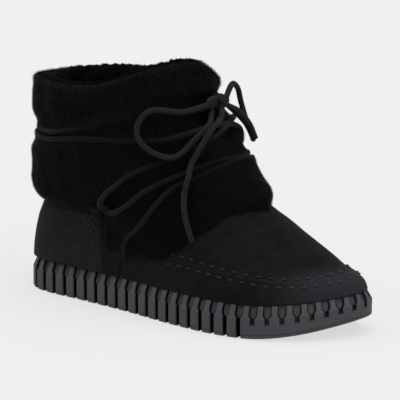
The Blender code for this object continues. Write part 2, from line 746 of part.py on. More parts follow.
def clear_of(body, route, distance):
    """Push the route's points away from a body until they are the distance clear of it."""
    tree = BVHTree.FromObject(body, bpy.context.evaluated_depsgraph_get())
    cleared = []
    for point in route:
        here = Vector(to_world(point))
        for attempt in range(4):
            place, normal, index, far = tree.find_nearest(here)
            inside = (here - place).dot(normal) < 0
            reach = -far if inside else far
            if reach * 1000 >= distance - 0.01:
                break
            here = here + normal * (distance / 1000 - reach)
        cleared.append((here.x * 1000 + HEEL_REST, here.y * 1000, here.z * 1000))
    return np.array(cleared)


def lace_half(fur, mirrored):
    """Half of the lace lying on the fur; the other half is its mirror image round the shaft."""
    sign = -1.0 if mirrored else 1.0
    points = []
    for row in LACE_ROUTE:
        angle = sign * row.angle
        level = level_at(angle, row.height)
        height = skin(angle, level)[2]
        thickness = fur_thickness(angle, height, 30.0)
        lift = GAP + thickness + LACE / 2 + GAP + row.lift
        points.append(offset_skin(angle, level, lift))
    route = smooth_route(points, LACE_STEP)
    return clear_of(fur, route, LACE / 2 + 3 * GAP)


def make_lace_wraps(fur):
    outer = lace_half(fur, False)
    inner = lace_half(fur, True)
    finish = ((0.03, 0.03, 0.034), 0.6)
    wraps = mesh_object("lace_wraps", *tube(outer, LACE / 2, LACE_SIDES), finish, 80.0)
    partner = mesh_object("lace_partner", *tube(inner, LACE / 2, LACE_SIDES), finish, 80.0)
    partner.hide_render = True
    partner.display_type = "WIRE"
    join = wraps.modifiers.new("join", "BOOLEAN")
    join.operation = "UNION"
    join.solver = "EXACT"
    join.object = partner
    return outer, inner


def make_keeper(name, route, side):
    """Small cord loop sewn at the counter's corner, with the lace's turn inside it."""
    angle = side * KEEPER_TURN.angle
    level = level_at(angle, KEEPER_TURN.height)
    nearest = int(np.argmin(np.linalg.norm(route - skin(angle, level), axis=1)))
    centre = route[nearest]
    normal = outward(angle, level)
    back = np.array(KEEPER_PULL)
    back = back - normal * np.dot(back, normal)
    back = back / np.linalg.norm(back)
    radius = LACE / 2 + KEEPER_CORD / 2 + KEEPER_PLAY
    track = []
    for index in range(KEEPER_POINTS):
        swing = pi * index / (KEEPER_POINTS - 1) - pi / 2
        track.append(centre - back * radius * cos(swing) + normal * radius * sin(swing))
    for index in range(KEEPER_POINTS):
        swing = pi * index / (KEEPER_POINTS - 1) + pi / 2
        track.append(centre + back * (KEEPER_REACH - radius * cos(swing)) + normal * radius * sin(swing))
    add_cord(name, track, KEEPER_CORD, ((0.015, 0.015, 0.018), 0.8), closed=True)


def add_cord(name, track, diameter, finish, closed=False):
    curve = bpy.data.curves.new(name, "CURVE")
    curve.dimensions = "3D"
    curve.bevel_depth = diameter / 2000
    curve.bevel_resolution = 2
    curve.use_fill_caps = True
    curve.twist_mode = "MINIMUM"
    spline = curve.splines.new("POLY")
    spline.points.add(len(track) - 1)
    for slot, point in zip(spline.points, track):
        slot.co = (*to_world(point), 1.0)
    spline.use_cyclic_u = closed
    curve.materials.append(material(name + "_finish", *finish))
    made = bpy.data.objects.new(name, curve)
    bpy.context.scene.collection.objects.link(made)
    return made


def make_knot():
    rows, columns = 7, 12
    rings = []
    for row in range(1, rows):
        tilt = pi * row / rows
        ring = []
        for column in range(columns):
            turn = 2 * pi * column / columns
            ring.append((KNOT_CENTRE[0] + KNOT_RADII[0] * sin(tilt) * cos(turn),
                         KNOT_CENTRE[1] - KNOT_RADII[1] * cos(tilt),
                         KNOT_CENTRE[2] + KNOT_RADII[2] * sin(tilt) * sin(turn)))
        rings.append(ring)
    points, faces = banded(rings, False)
    points += [(KNOT_CENTRE[0], KNOT_CENTRE[1] - KNOT_RADII[1], KNOT_CENTRE[2]),
               (KNOT_CENTRE[0], KNOT_CENTRE[1] + KNOT_RADII[1], KNOT_CENTRE[2])]
    last = (rows - 2) * columns
    for column in range(columns):
        after = (column + 1) % columns
        faces.append((column, after, len(points) - 2))
        faces.append((last + column, last + after, len(points) - 1))
    return mesh_object("lace_knot", points, faces, ((0.03, 0.03, 0.034), 0.6), 80.0)


def main():
    clear_scene()
    make_outsole()
    make_insole()
    upper = make_upper()
    make_heel_counter(upper)
    fur = make_fur_shaft(upper)
    outer, inner = make_lace_wraps(fur)
    make_keeper("lace_keeper_lateral", inner, -1)
    make_keeper("lace_keeper_medial", outer, 1)
    make_knot()
    finish = ((0.03, 0.03, 0.034), 0.6)
    add_cord("lace_loop_lateral", smooth_route(LOOP_LATERAL, CORD_STEP), LACE, finish)
    add_cord("lace_loop_medial", smooth_route(LOOP_MEDIAL, CORD_STEP), LACE, finish)
    add_cord("lace_end_lateral", smooth_route(END_LATERAL, CORD_STEP), LACE, finish)
    add_cord("lace_end_medial", smooth_route(END_MEDIAL, CORD_STEP), LACE, finish)


main()
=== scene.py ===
import json
from math import acos, cos, pi, radians, sin

import bpy
import numpy as np
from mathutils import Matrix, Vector
from mathutils.bvhtree import BVHTree
from mathutils.kdtree import KDTree

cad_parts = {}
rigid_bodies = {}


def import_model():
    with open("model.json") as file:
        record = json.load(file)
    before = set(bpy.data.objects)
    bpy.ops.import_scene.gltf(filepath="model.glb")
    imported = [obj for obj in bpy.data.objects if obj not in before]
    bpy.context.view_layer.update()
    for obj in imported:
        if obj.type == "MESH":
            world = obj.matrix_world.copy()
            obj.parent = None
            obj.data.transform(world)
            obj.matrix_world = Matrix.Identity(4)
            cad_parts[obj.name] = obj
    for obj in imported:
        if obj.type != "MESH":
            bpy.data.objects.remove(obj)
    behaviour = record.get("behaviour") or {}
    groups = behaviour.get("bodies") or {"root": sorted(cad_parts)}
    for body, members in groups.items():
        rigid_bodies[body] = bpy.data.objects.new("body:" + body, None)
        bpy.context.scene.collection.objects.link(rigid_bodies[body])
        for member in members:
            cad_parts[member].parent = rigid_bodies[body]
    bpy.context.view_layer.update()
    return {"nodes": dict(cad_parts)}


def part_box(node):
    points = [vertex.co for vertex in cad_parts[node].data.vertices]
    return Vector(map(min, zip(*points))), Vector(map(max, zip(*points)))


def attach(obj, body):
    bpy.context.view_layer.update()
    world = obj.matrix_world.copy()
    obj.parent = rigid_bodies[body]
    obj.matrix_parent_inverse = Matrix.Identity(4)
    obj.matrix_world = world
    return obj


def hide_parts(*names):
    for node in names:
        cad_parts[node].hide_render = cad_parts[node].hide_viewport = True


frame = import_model()
nodes = frame["nodes"]
print("frame loaded:", len(nodes), "nodes")

# Tables are in millimetres, x from the back of the sole; everything is put in the frame's metres
# by toWorld() when a mesh is made.
boot = {"heelRest": 31.0, "gap": 0.3, "wall": 2.6}


def toWorld(points):
    return (np.asarray(points, float) - (boot["heelRest"], 0.0, 0.0)) / 1000.0


def smooth(value):
    value = np.clip(value, 0.0, 1.0)
    return value * value * (3.0 - 2.0 * value)


def hermite(start, end, slopeStart, slopeEnd, share):
    square = share * share
    cube = square * share
    return ((2 * cube - 3 * square + 1) * start + (cube - 2 * square + share) * slopeStart
            + (3 * square - 2 * cube) * end + (cube - square) * slopeEnd)


def loopedCurve(knots, values, period):
    knots = np.array(knots, float)
    values = np.array(values, float)
    before = np.roll(knots, 1)
    before[0] -= period
    after = np.roll(knots, -1)
    after[-1] += period
    slopes = (np.roll(values, -1) - np.roll(values, 1)) / (after - before)

    def read(place):
        place = np.asarray(place, float) % period
        index = np.searchsorted(knots, place, side="right") - 1
        index = np.where(index < 0, len(knots) - 1, index)
        following = (index + 1) % len(knots)
        span = after[index] - knots[index]
        share = ((place - knots[index]) % period) / span
        return hermite(values[index], values[following], slopes[index] * span,
                       slopes[following] * span, share)

    return read


def openCurve(knots, values):
    knots = np.array(knots, float)
    values = np.array(values, float)
    slopes = np.gradient(values, knots)

    def read(place):
        place = np.clip(np.asarray(place, float), knots[0], knots[-1])
        index = np.clip(np.searchsorted(knots, place, side="right") - 1, 0, len(knots) - 2)
        span = knots[index + 1] - knots[index]
        share = (place - knots[index]) / span
        return hermite(values[index], values[index + 1], slopes[index] * span,
                       slopes[index + 1] * span, share)

    return read


def smoothRoute(points, step):
    points = np.array(points, float)
    chords = np.linalg.norm(np.diff(points, axis=0), axis=1)
    marks = np.concatenate([[0.0], np.cumsum(np.sqrt(chords))])
    fine = np.linspace(0.0, marks[-1], 60 * len(points))
    track = np.stack([openCurve(marks, points[:, axis])(fine) for axis in range(3)], axis=1)
    run = np.concatenate([[0.0], np.cumsum(np.linalg.norm(np.diff(track, axis=0), axis=1))])
    count = max(2, int(round(run[-1] / step)))
    wanted = np.linspace(0.0, run[-1], count + 1)
    return np.stack([np.interp(wanted, run, track[:, axis]) for axis in range(3)], axis=1)


def addMesh(name, points, faces, material, replaced=()):
    mesh = bpy.data.meshes.new(name)
    mesh.from_pydata(toWorld(points).tolist(), [], [tuple(face) for face in faces])
    mesh.validate()
    mesh.shade_smooth()
    mesh.materials.append(material)
    piece = bpy.data.objects.new(name, mesh)
    bpy.context.scene.collection.objects.link(piece)
    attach(piece, "root")
    if replaced:
        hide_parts(*replaced)
    return piece


def addTint(piece, values):
    layer = piece.data.attributes.new("tint", "FLOAT", "POINT")
    layer.data.foreach_set("value", np.asarray(values, np.float32).ravel())


def gridFaces(rows, columns, loopColumns=True, loopRows=False, flip=False, start=0):
    lastRow = rows if loopRows else rows - 1
    lastColumn = columns if loopColumns else columns - 1
    row, column = np.meshgrid(np.arange(lastRow), np.arange(lastColumn), indexing="ij")
    low = row * columns
    high = ((row + 1) % rows) * columns
    after = (column + 1) % columns
    corners = [low + column, low + after, high + after, high + column]
    if flip:
        corners.reverse()
    return (np.stack(corners, axis=-1).reshape(-1, 4) + start).tolist()


# Last and sole: the same tables as the solids
soleShape = {
    "length": 272.0, "thickness": 22.9, "toeSpring": 12.1, "springStart": 205.0, "topSpring": 0.6,
    "heelLift": 2.0, "heelLiftLength": 25.0, "toeTipY": 8.5,
    "outline": [      # x, lateral, medial
        (12, 27.2, 27.2), (30, 33.6, 34.2), (60, 36.5, 33.8), (105, 42.2, 33.0), (150, 50.1, 42.7),
        (188, 53.3, 48.4), (220, 47.9, 41.2), (246, 32.5, 33.4), (263, 12.5, 26.5)],
}
lastShape = {
    "rings": [        # backX, backH, midH, frontX, frontH, breadth, oval
        (2.0, 0.0, 0.0, 266.8, 0.0, 47.4, 0.0), (3.0, 9.0, 8.0, 265.6, 6.5, 48.2, 0.0),
        (4.9, 20.0, 15.5, 260.5, 12.5, 47.5, 0.0), (7.3, 30.0, 22.0, 249.5, 19.0, 45.5, 0.02),
        (10.0, 37.0, 29.5, 233.0, 29.5, 43.0, 0.08), (12.0, 43.0, 39.0, 209.0, 44.5, 41.0, 0.25),
        (12.5, 52.0, 51.0, 188.0, 56.0, 40.0, 0.5), (12.0, 66.0, 67.5, 173.0, 71.5, 39.0, 0.78),
        (11.5, 84.0, 87.0, 160.5, 90.0, 38.5, 0.95), (11.0, 103.0, 108.0, 147.5, 113.0, 38.0, 1.0),
        (10.0, 125.0, 132.0, 140.0, 147.5, 38.0, 1.0)],
    "collarRise": [   # angle, height
        (0, 0.5), (40, 3.5), (90, -1.5), (138, 4.5), (165, 3.0), (186, -8.0), (205, -14.5),
        (240, -7.5), (290, -1.0), (330, 0.0)],
    "riseStart": 8.0, "ovalFullness": 0.12, "breadthUnit": 50.8,
}
topLevel = len(lastShape["rings"]) - 1


def outlineReader():
    length = soleShape["length"]
    rows = [(acos(1 - 2 * x / length) / pi, lateral, medial) for x, lateral, medial in soleShape["outline"]]
    knots = [0.0] + [row[0] for row in rows] + [1.0] + [2.0 - row[0] for row in reversed(rows)]
    values = [0.0] + [-row[1] for row in rows] + [soleShape["toeTipY"]] + [row[2] for row in reversed(rows)]
    return loopedCurve(knots, values, 2.0)


soleBreadth = outlineReader()
ringColumns = [openCurve(range(topLevel + 1), [row[column] for row in lastShape["rings"]])
               for column in range(7)]
collarRise = loopedCurve([row[0] for row in lastShape["collarRise"]],
                         [row[1] for row in lastShape["collarRise"]], 360.0)


def toeSpring(x):
    past = np.clip((x - soleShape["springStart"]) / (soleShape["length"] - soleShape["springStart"]), 0, 1)
    return soleShape["toeSpring"] * past ** 2


def soleBottom(x):
    back = np.clip((soleShape["heelLiftLength"] - x) / soleShape["heelLiftLength"], 0, 1)
    return toeSpring(x) + soleShape["heelLift"] * back ** 2


def soleTop(x):
    return soleShape["thickness"] + soleShape["topSpring"] * toeSpring(x)


def skin(angle, level):
    angle, level = np.broadcast_arrays(np.asarray(angle, float), np.asarray(level, float))
    backX, backH, midH, frontX, frontH, breadth, oval = [column(level) for column in ringColumns]
    turn = (angle / 180.0) % 2.0
    share = (1 - np.cos(pi * turn)) / 2
    x = backX + (frontX - backX) * share
    foot = soleBreadth(turn) / lastShape["breadthUnit"]   # plan of the foot; rounded is the shaft's
    swing = np.sin(pi * turn)
    rounded = -swing * (1 + lastShape["ovalFullness"] * (1 - swing * swing))
    y = breadth * ((1 - oval) * foot + oval * rounded)
    h = (backH * 2 * (share - 0.5) * (share - 1) + midH * 4 * share * (1 - share)
         + frontH * 2 * share * (share - 0.5))
    h = h + collarRise(angle) * smooth((level - lastShape["riseStart"]) / (topLevel - lastShape["riseStart"]))
    return np.stack([x, y, soleTop(x) + boot["gap"] + h], axis=-1)


def unit(vectors):
    return vectors / np.maximum(np.linalg.norm(vectors, axis=-1, keepdims=True), 1e-9)


def fromHeel(angle):
    # degrees from the heel, the same on both sides
    return np.minimum(angle % 360, 360 - angle % 360)


def bell(offset, width):
    return np.exp(-(offset / width) ** 2)


def outward(angle, level):
    level = np.asarray(level, float)
    across = skin(np.asarray(angle) + 0.8, level) - skin(np.asarray(angle) - 0.8, level)
    along = skin(angle, np.minimum(level + 0.02, topLevel)) - skin(angle, np.maximum(level - 0.02, 0))
    return unit(np.cross(across, along))


def offsetSkin(angle, level, distance, flat=False):
    normal = outward(angle, level)
    if flat:
        normal = unit(normal * (1, 1, 0))
    return skin(angle, level) + normal * np.asarray(distance)[..., None]


fineLevels = np.linspace(0, topLevel, 201)


def levelAt(angle, height):
    angle, height = np.broadcast_arrays(np.asarray(angle, float), np.asarray(height, float))
    flatAngle, flatHeight = angle.ravel(), height.ravel()
    heights = skin(flatAngle[:, None], fineLevels[None, :])[..., 2]
    found = [np.interp(flatHeight[i], heights[i], fineLevels) for i in range(len(flatAngle))]
    return np.array(found).reshape(angle.shape)


def angleAt(level, x):
    backX, frontX = ringColumns[0](level), ringColumns[3](level)
    share = np.clip((x - backX) / (frontX - backX), 0.0, 1.0)
    return np.degrees(np.arccos(1 - 2 * share))


def angleOver(x, height):
    angle = 90.0
    for _ in range(6):
        angle = float(angleAt(levelAt(angle, height), x))
    return angle


print("last and sole shapes read")

# Camera and light
view = {"azimuth": 36.0, "elevation": 13.74, "distance": 2.0, "lens": 258.75, "sensor": 36.0,
        "target": (135.0, 0.0, 60.0), "aimRight": 3.4, "aimUp": 15.4}


def makeCamera():
    azimuth, elevation = radians(view["azimuth"]), radians(view["elevation"])
    back = Vector((sin(azimuth) * cos(elevation), -cos(azimuth) * cos(elevation), sin(elevation)))
    right = Vector((cos(azimuth), sin(azimuth), 0.0))
    up = back.cross(right)
    target = Vector(toWorld(view["target"]))
    place = target + back * view["distance"]
    aim = target + right * view["aimRight"] / 1000 + up * view["aimUp"] / 1000
    data = bpy.data.cameras.new("camera")
    data.lens = view["lens"]
    data.sensor_width = view["sensor"]
    camera = bpy.data.objects.new("camera", data)
    bpy.context.scene.collection.objects.link(camera)
    camera.location = place
    camera.rotation_mode = "QUATERNION"
    camera.rotation_quaternion = (place - aim).to_track_quat("Z", "Y")
    bpy.context.scene.camera = camera


studio = {
    "worldColour": (1.0, 1.0, 1.0), "worldStrength": 0.80,
    "floorColour": (0.15, 0.15, 0.15), "floorGlow": 0.642, "floorSize": 60.0, "floorDrop": 0.0003,
    "suns": [   # name, direction that it shines from, strength, spread in degrees
        ("topSun", (0.05, 0.05, 1.0), 1.4, 50.0),
        ("rightSun", (1.0, -0.35, 0.75), 0.92, 45.0),
        ("leftSun", (-1.0, -0.3, 0.9), 0.55, 45.0)],
}


def makeStudio():
    world = bpy.data.worlds.new("studio")
    world.use_nodes = True
    background = world.node_tree.nodes["Background"]
    background.inputs["Color"].default_value = (*studio["worldColour"], 1.0)
    background.inputs["Strength"].default_value = studio["worldStrength"]
    bpy.context.scene.world = world
    half = studio["floorSize"] / 2
    mesh = bpy.data.meshes.new("floor")
    mesh.from_pydata([(-half, -half, 0), (half, -half, 0), (half, half, 0), (-half, half, 0)], [],
                     [(0, 1, 2, 3)])
    floorPaint = bpy.data.materials.new("floorPaint")
    floorPaint.use_nodes = True
    shader = floorPaint.node_tree.nodes["Principled BSDF"]
    shader.inputs["Base Color"].default_value = (*studio["floorColour"], 1.0)
    shader.inputs["Roughness"].default_value = 0.9
    shader.inputs["Specular IOR Level"].default_value = 0.0
    shader.inputs["Emission Color"].default_value = (1.0, 1.0, 1.0, 1.0)
    shader.inputs["Emission Strength"].default_value = studio["floorGlow"]
    mesh.materials.append(floorPaint)
    floor = bpy.data.objects.new("floor", mesh)
    floor.location.z = -studio["floorDrop"]
    bpy.context.scene.collection.objects.link(floor)
    for name, towards, strength, spread in studio["suns"]:
        data = bpy.data.lights.new(name, "SUN")
        data.energy = strength
        data.angle = radians(spread)
        lamp = bpy.data.objects.new(name, data)
        bpy.context.scene.collection.objects.link(lamp)
        lamp.location = towards
        lamp.rotation_mode = "QUATERNION"
        lamp.rotation_quaternion = Vector(towards).to_track_quat("Z", "Y")
    bpy.context.scene.view_settings.view_transform = "Standard"


makeCamera()
makeStudio()
print("camera and studio placed")


# Finishes; sizes of their grain are in metres
def newMaterial(name, look, sheenRoughness=0.5):
    made = bpy.data.materials.new(name)
    made.use_nodes = True
    shader = made.node_tree.nodes["Principled BSDF"]
    shader.inputs["Base Color"].default_value = (*look["dark"], 1.0)
    shader.inputs["Roughness"].default_value = look["roughness"]
    shader.inputs["Specular IOR Level"].default_value = look["specular"]
    shader.inputs["Sheen Weight"].default_value = look.get("sheen", 0.0)
    shader.inputs["Sheen Roughness"].default_value = sheenRoughness
    shader.inputs["Sheen Tint"].default_value = (1.0, 1.0, 1.0, 1.0)
    return made


def addNode(material, kind, **settings):
    node = material.node_tree.nodes.new(kind)
    for key, value in settings.items():
        if key in node.inputs:
            node.inputs[key].default_value = value
        else:
            setattr(node, key, value)
    return node


def link(material, fromNode, output, toNode, target):
    material.node_tree.links.new(fromNode.outputs[output], toNode.inputs[target])


def objectNoise(material, size, detail=3.0, roughness=0.5, stretch=None):
    place = addNode(material, "ShaderNodeTexCoord")
    noise = addNode(material, "ShaderNodeTexNoise")
    noise.inputs["Scale"].default_value = 1.0 / size
    noise.inputs["Detail"].default_value = detail
    noise.inputs["Roughness"].default_value = roughness
    if stretch is None:
        link(material, place, "Object", noise, "Vector")
    else:
        mapping = addNode(material, "ShaderNodeMapping")
        mapping.inputs["Scale"].default_value = stretch
        link(material, place, "Object", mapping, "Vector")
        link(material, mapping, "Vector", noise, "Vector")
    return noise


def twoTone(material, sources, dark, light, low=0.35, high=0.65):
    factor = sources[0]
    output = "Fac"
    for other in sources[1:]:
        both = addNode(material, "ShaderNodeMath", operation="MULTIPLY_ADD")
        both.inputs[1].default_value = 0.5
        link(material, factor, output, both, 0)
        half = addNode(material, "ShaderNodeMath", operation="MULTIPLY")
        half.inputs[1].default_value = 0.5
        link(material, other, "Fac", half, 0)
        link(material, half, "Value", both, 2)
        factor, output = both, "Value"
    ramp = addNode(material, "ShaderNodeValToRGB")
    ramp.color_ramp.elements[0].position = low
    ramp.color_ramp.elements[0].color = (*dark, 1.0)
    ramp.color_ramp.elements[1].position = high
    ramp.color_ramp.elements[1].color = (*light, 1.0)
    link(material, factor, output, ramp, "Fac")
    shader = material.node_tree.nodes["Principled BSDF"]
    link(material, ramp, "Color", shader, "Base Color")
    return ramp


def addBump(material, layers):
    shader = material.node_tree.nodes["Principled BSDF"]
    previous = None
    for source, output, strength, distance in layers:
        bump = addNode(material, "ShaderNodeBump")
        bump.inputs["Strength"].default_value = strength
        bump.inputs["Distance"].default_value = distance
        link(material, source, output, bump, "Height")
        if previous is not None:
            link(material, previous, "Normal", bump, "Normal")
        previous = bump
    link(material, previous, "Normal", shader, "Normal")


finish = {
    # each suede finish's third colour is painted light; it shows where a tint is set: on the toe of the foot
    # and at the back of the heel counter
    "suede": {"dark": (0.0040, 0.0040, 0.0045), "light": (0.0078, 0.0076, 0.0084), "roughness": 0.95,
              "specular": 0.05, "sheen": 0.03, "paintedLight": (0.0175, 0.0169, 0.0203), "napPatch": 0.014,
              "brush": 0.0035, "grain": 0.0007},
    "counter": {"dark": (0.0072, 0.0071, 0.0080), "light": (0.0122, 0.0120, 0.0132), "roughness": 0.95,
                "specular": 0.06, "sheen": 0.035, "paintedLight": (0.0150, 0.0147, 0.0180), "napPatch": 0.017,
                "brush": 0.004, "grain": 0.0007},
    "fleece": {"dark": (0.0008, 0.0008, 0.0008), "light": (0.0034, 0.0034, 0.0034), "roughness": 0.95,
               "specular": 0.03, "sheen": 0.015, "paintedLight": (0.004, 0.004, 0.004), "napPatch": 0.012,
               "brush": 0.003, "grain": 0.0006},
    "plushBase": {"dark": (0.0018, 0.0018, 0.0018), "roughness": 0.95, "specular": 0.0},
    "pile": {"dark": (0.0009, 0.0009, 0.0009), "light": (0.0125, 0.0125, 0.0125), "roughness": 0.7,
             "specular": 0.07, "sheen": 0.015},
    "lining": {"dark": (0.0009, 0.0009, 0.0009), "light": (0.0066, 0.0066, 0.0066), "roughness": 0.8,
               "specular": 0.05, "sheen": 0.02},
    "thread": {"dark": (0.0050, 0.0050, 0.0056), "light": (0.034, 0.033, 0.037), "roughness": 0.6,
               "specular": 0.12},
    "lace": {"dark": (0.0075, 0.0075, 0.0085), "light": (0.0150, 0.0147, 0.0168), "roughness": 0.75,
             "specular": 0.06, "sheen": 0.012, "shaded": (0.0018, 0.0018, 0.0020), "fibre": 0.0005},
    "keeper": {"dark": (0.0020, 0.0020, 0.0022), "light": (0.0045, 0.0045, 0.0050), "roughness": 0.8,
               "specular": 0.05, "sheen": 0.02, "shaded": (0.0016, 0.0016, 0.0018), "fibre": 0.0004},
    # rubber: its darkest colour is painted shade, mixed in where the slots go deep
    "rubber": {"dark": (0.032, 0.031, 0.036), "light": (0.044, 0.042, 0.049), "roughness": 0.55,
               "specular": 0.25, "paintedRecessShade": (0.003, 0.003, 0.0035), "cloud": 0.03, "skin": 0.0005},
    # a near black, matt rubber laid as painted shade on the deepest faces of the slots
    "paintedRecessShade": {"dark": (0.0025, 0.0025, 0.003), "roughness": 0.9, "specular": 0.02},
}


def mixByTint(made, ramp, colour):
    tint = addNode(made, "ShaderNodeAttribute", attribute_name="tint")
    mix = addNode(made, "ShaderNodeMix", data_type="RGBA")
    colourA, colourB, mixed = mix.inputs[6], mix.inputs[7], mix.outputs[2]
    colourB.default_value = (*colour, 1.0)
    link(made, tint, "Fac", mix, "Factor")
    made.node_tree.links.new(ramp.outputs["Color"], colourA)
    made.node_tree.links.new(mixed, made.node_tree.nodes["Principled BSDF"].inputs["Base Color"])


def makeSuede(name, look):
    made = newMaterial(name, look, 0.4)
    patch = objectNoise(made, look["napPatch"], 4.0, 0.62)
    brush = objectNoise(made, look["brush"], 3.0, 0.6, (0.5, 1.0, 1.4))
    grain = objectNoise(made, look["grain"], 2.0, 0.6)
    ramp = twoTone(made, [patch, brush], look["dark"], look["light"], 0.36, 0.66)
    # painted light: the tint lightens the suede towards the finish's third colour
    mixByTint(made, ramp, look["paintedLight"])
    addBump(made, [(brush, "Fac", 0.25, 0.0004), (grain, "Fac", 0.5, 0.00025)])
    return made


def makePile(name, look):
    made = newMaterial(name, look, 0.35)
    tint = addNode(made, "ShaderNodeAttribute", attribute_name="tint")
    ramp = addNode(made, "ShaderNodeValToRGB")
    ramp.color_ramp.elements[0].color = (*look["dark"], 1.0)
    ramp.color_ramp.elements[1].color = (*look["light"], 1.0)
    link(made, tint, "Fac", ramp, "Fac")
    link(made, ramp, "Color", made.node_tree.nodes["Principled BSDF"], "Base Color")
    return made


def makeCordFinish(name, look):
    made = newMaterial(name, look, 0.4)
    fibre = objectNoise(made, look["fibre"], 3.0, 0.7)
    cloud = objectNoise(made, look["fibre"] * 9, 2.0, 0.5)
    ramp = twoTone(made, [fibre, cloud], look["dark"], look["light"], 0.35, 0.65)
    mixByTint(made, ramp, look["shaded"])
    addBump(made, [(fibre, "Fac", 0.5, 0.0002)])
    return made


def makeRubber(name, look):
    made = newMaterial(name, look)
    cloud = objectNoise(made, look["cloud"], 3.0, 0.55)
    skinGrain = objectNoise(made, look["skin"], 2.0, 0.6)
    ramp = twoTone(made, [cloud, skinGrain], look["dark"], look["light"], 0.38, 0.64)
    # painted shade: the tint darkens the rubber in the slots
    mixByTint(made, ramp, look["paintedRecessShade"])
    addBump(made, [(cloud, "Fac", 0.12, 0.0006), (skinGrain, "Fac", 0.25, 0.00012)])
    return made


suede = makeSuede("suede", finish["suede"])
counterSuede = makeSuede("counterSuede", finish["counter"])
plushBase = newMaterial("plushBase", finish["plushBase"])
plushPile = makePile("plushPile", finish["pile"])
liningPile = makePile("liningPile", finish["lining"])
fleeceCloth = makeSuede("fleeceCloth", finish["fleece"])
laceYarn = makeCordFinish("laceYarn", finish["lace"])
keeperYarn = makeCordFinish("keeperYarn", finish["keeper"])
thread = makePile("thread", finish["thread"])
soleRubber = makeRubber("soleRubber", finish["rubber"])
paintedSlotShade = newMaterial("paintedSlotShade", finish["paintedRecessShade"])
print("finishes mixed")


# Ribbed sole: upright ribs with narrow bevelled heads, and a small recessed wedge in each fork; the slots and
# wedges get painted shade
sole = {
    "ribs": 62, "slot": 3.2, "slotDepth": 3.8, "forkDepth": 1.0, "edge": 0.45, "edgeRound": 0.16,
    "shoulder": 0.60, "neck": 0.71, "headShare": 0.58, "headInset": 3.7, "neckInset": 0.9,
    # the entries named for shade set the painted shade in the slots and wedges: how dark it is, the depth it
    # starts from and the depth it grows over, and when the near black rubber takes over; the shade depth is
    # also the step down the slot's wall
    "wedgeInset": 2.0, "wedgeSlot": 0.75, "wedgePaintedShade": 0.55, "shadeFrom": 0.2, "shadeDepth": 0.9,
    "bottomRound": 1.1, "roundTo": 0.05, "rimFrom": 0.94, "rimIn": 1.2, "lip": 3.0, "groove": 1.8,
    "foxBand": (0.1, 0.12), "foxDepth": 0.35, "bandTop": 0.39, "bandFade": 0.07, "shortSlotPaintedShade": 0.8,
    "toeBandFrom": 214.0, "heelBandTo": 13.0, "crispAngle": 38.0, "paintedShadeFrom": 0.9,
    "lowHeights": [0.0, 0.02, 0.05, 0.095, 0.105, 0.115, 0.125, 0.15, 0.24, 0.33, 0.36, 0.40, 0.45, 0.52],
    "bevelMiddle": 0.66, "highHeights": [0.80, 0.88, 0.94, 0.975, 1.0],
}


def outlineByLength():
    fine = 2880
    turns = np.linspace(0.0, 2.0, fine + 1)
    track = np.stack([soleShape["length"] * (1 - np.cos(pi * turns)) / 2, soleBreadth(turns)], axis=1)
    run = np.concatenate([[0.0], np.cumsum(np.linalg.norm(np.diff(track, axis=0), axis=1))])
    perimeter = run[-1]

    def at(mark):
        mark = np.asarray(mark) % perimeter
        return np.stack([np.interp(mark, run, track[:, axis]) for axis in (0, 1)], axis=-1)

    def read(mark):
        along = at(mark + 0.8) - at(mark - 0.8)
        side = unit(np.stack([along[..., 1], -along[..., 0]], axis=-1))
        return at(mark), side

    return read, perimeter


def sideHeights():
    shoulder, neck = sole["shoulder"], sole["neck"]
    return (sole["lowHeights"] + [shoulder - 0.02, shoulder, shoulder + 0.02, sole["bevelMiddle"]]
            + [neck - 0.02, neck, neck + 0.02] + sole["highHeights"])


def ribAcross(share, pitch):
    # one rib and the slot after it, at this share of the sole's height
    growth = float(smooth((share - sole["shoulder"]) / (sole["neck"] - sole["shoulder"])))
    lean = max(share - sole["neck"], 0.0) / (1 - sole["neck"])
    half = (pitch - sole["slot"]) / 2 * (1 + (sole["headShare"] - 1) * growth)
    face = sole["neckInset"] * growth + (sole["headInset"] - sole["neckInset"]) * lean
    if sole["foxBand"][0] <= share <= sole["foxBand"][1]:
        face += sole["foxDepth"]
    edge = sole["edge"]
    depth = sole["slotDepth"] + sole["forkDepth"] * growth
    wedge = pitch / 2 - half - sole["wedgeSlot"]
    if wedge > 0 and share > sole["shoulder"]:
        floorEnd, wedgeStart = pitch / 2 - wedge, pitch / 2 - wedge + 0.12
        wedgeFace, wedgePaintedShade = face + sole["wedgeInset"], sole["wedgePaintedShade"]
    else:
        floorEnd, wedgeStart = pitch / 2 - 0.02, pitch / 2 - 0.01
        wedgeFace, wedgePaintedShade = depth, 1.0
    # the last column is the share of painted shade given once the slot is deep
    across = [   # place from the rib's middle, inset, in the slot, shade when deep
        (0.0, face, 0, 0), (half * 0.55, face, 0, 0), (half - edge, face, 0, 0),
        (half - 0.3 * edge, face + sole["edgeRound"], 0, 0), (half, face + edge, 0, 1),
        (half + 0.03, face + edge + sole["shadeDepth"], 1, 1), (half + 0.12, depth, 1, 1),
        (floorEnd, depth, 1, 1), (wedgeStart, wedgeFace, 1, wedgePaintedShade),
        (pitch / 2, wedgeFace, 1, wedgePaintedShade)]
    across += [(pitch - place, *rest) for place, *rest in reversed(across[1:-1])]
    return face, np.array(across)


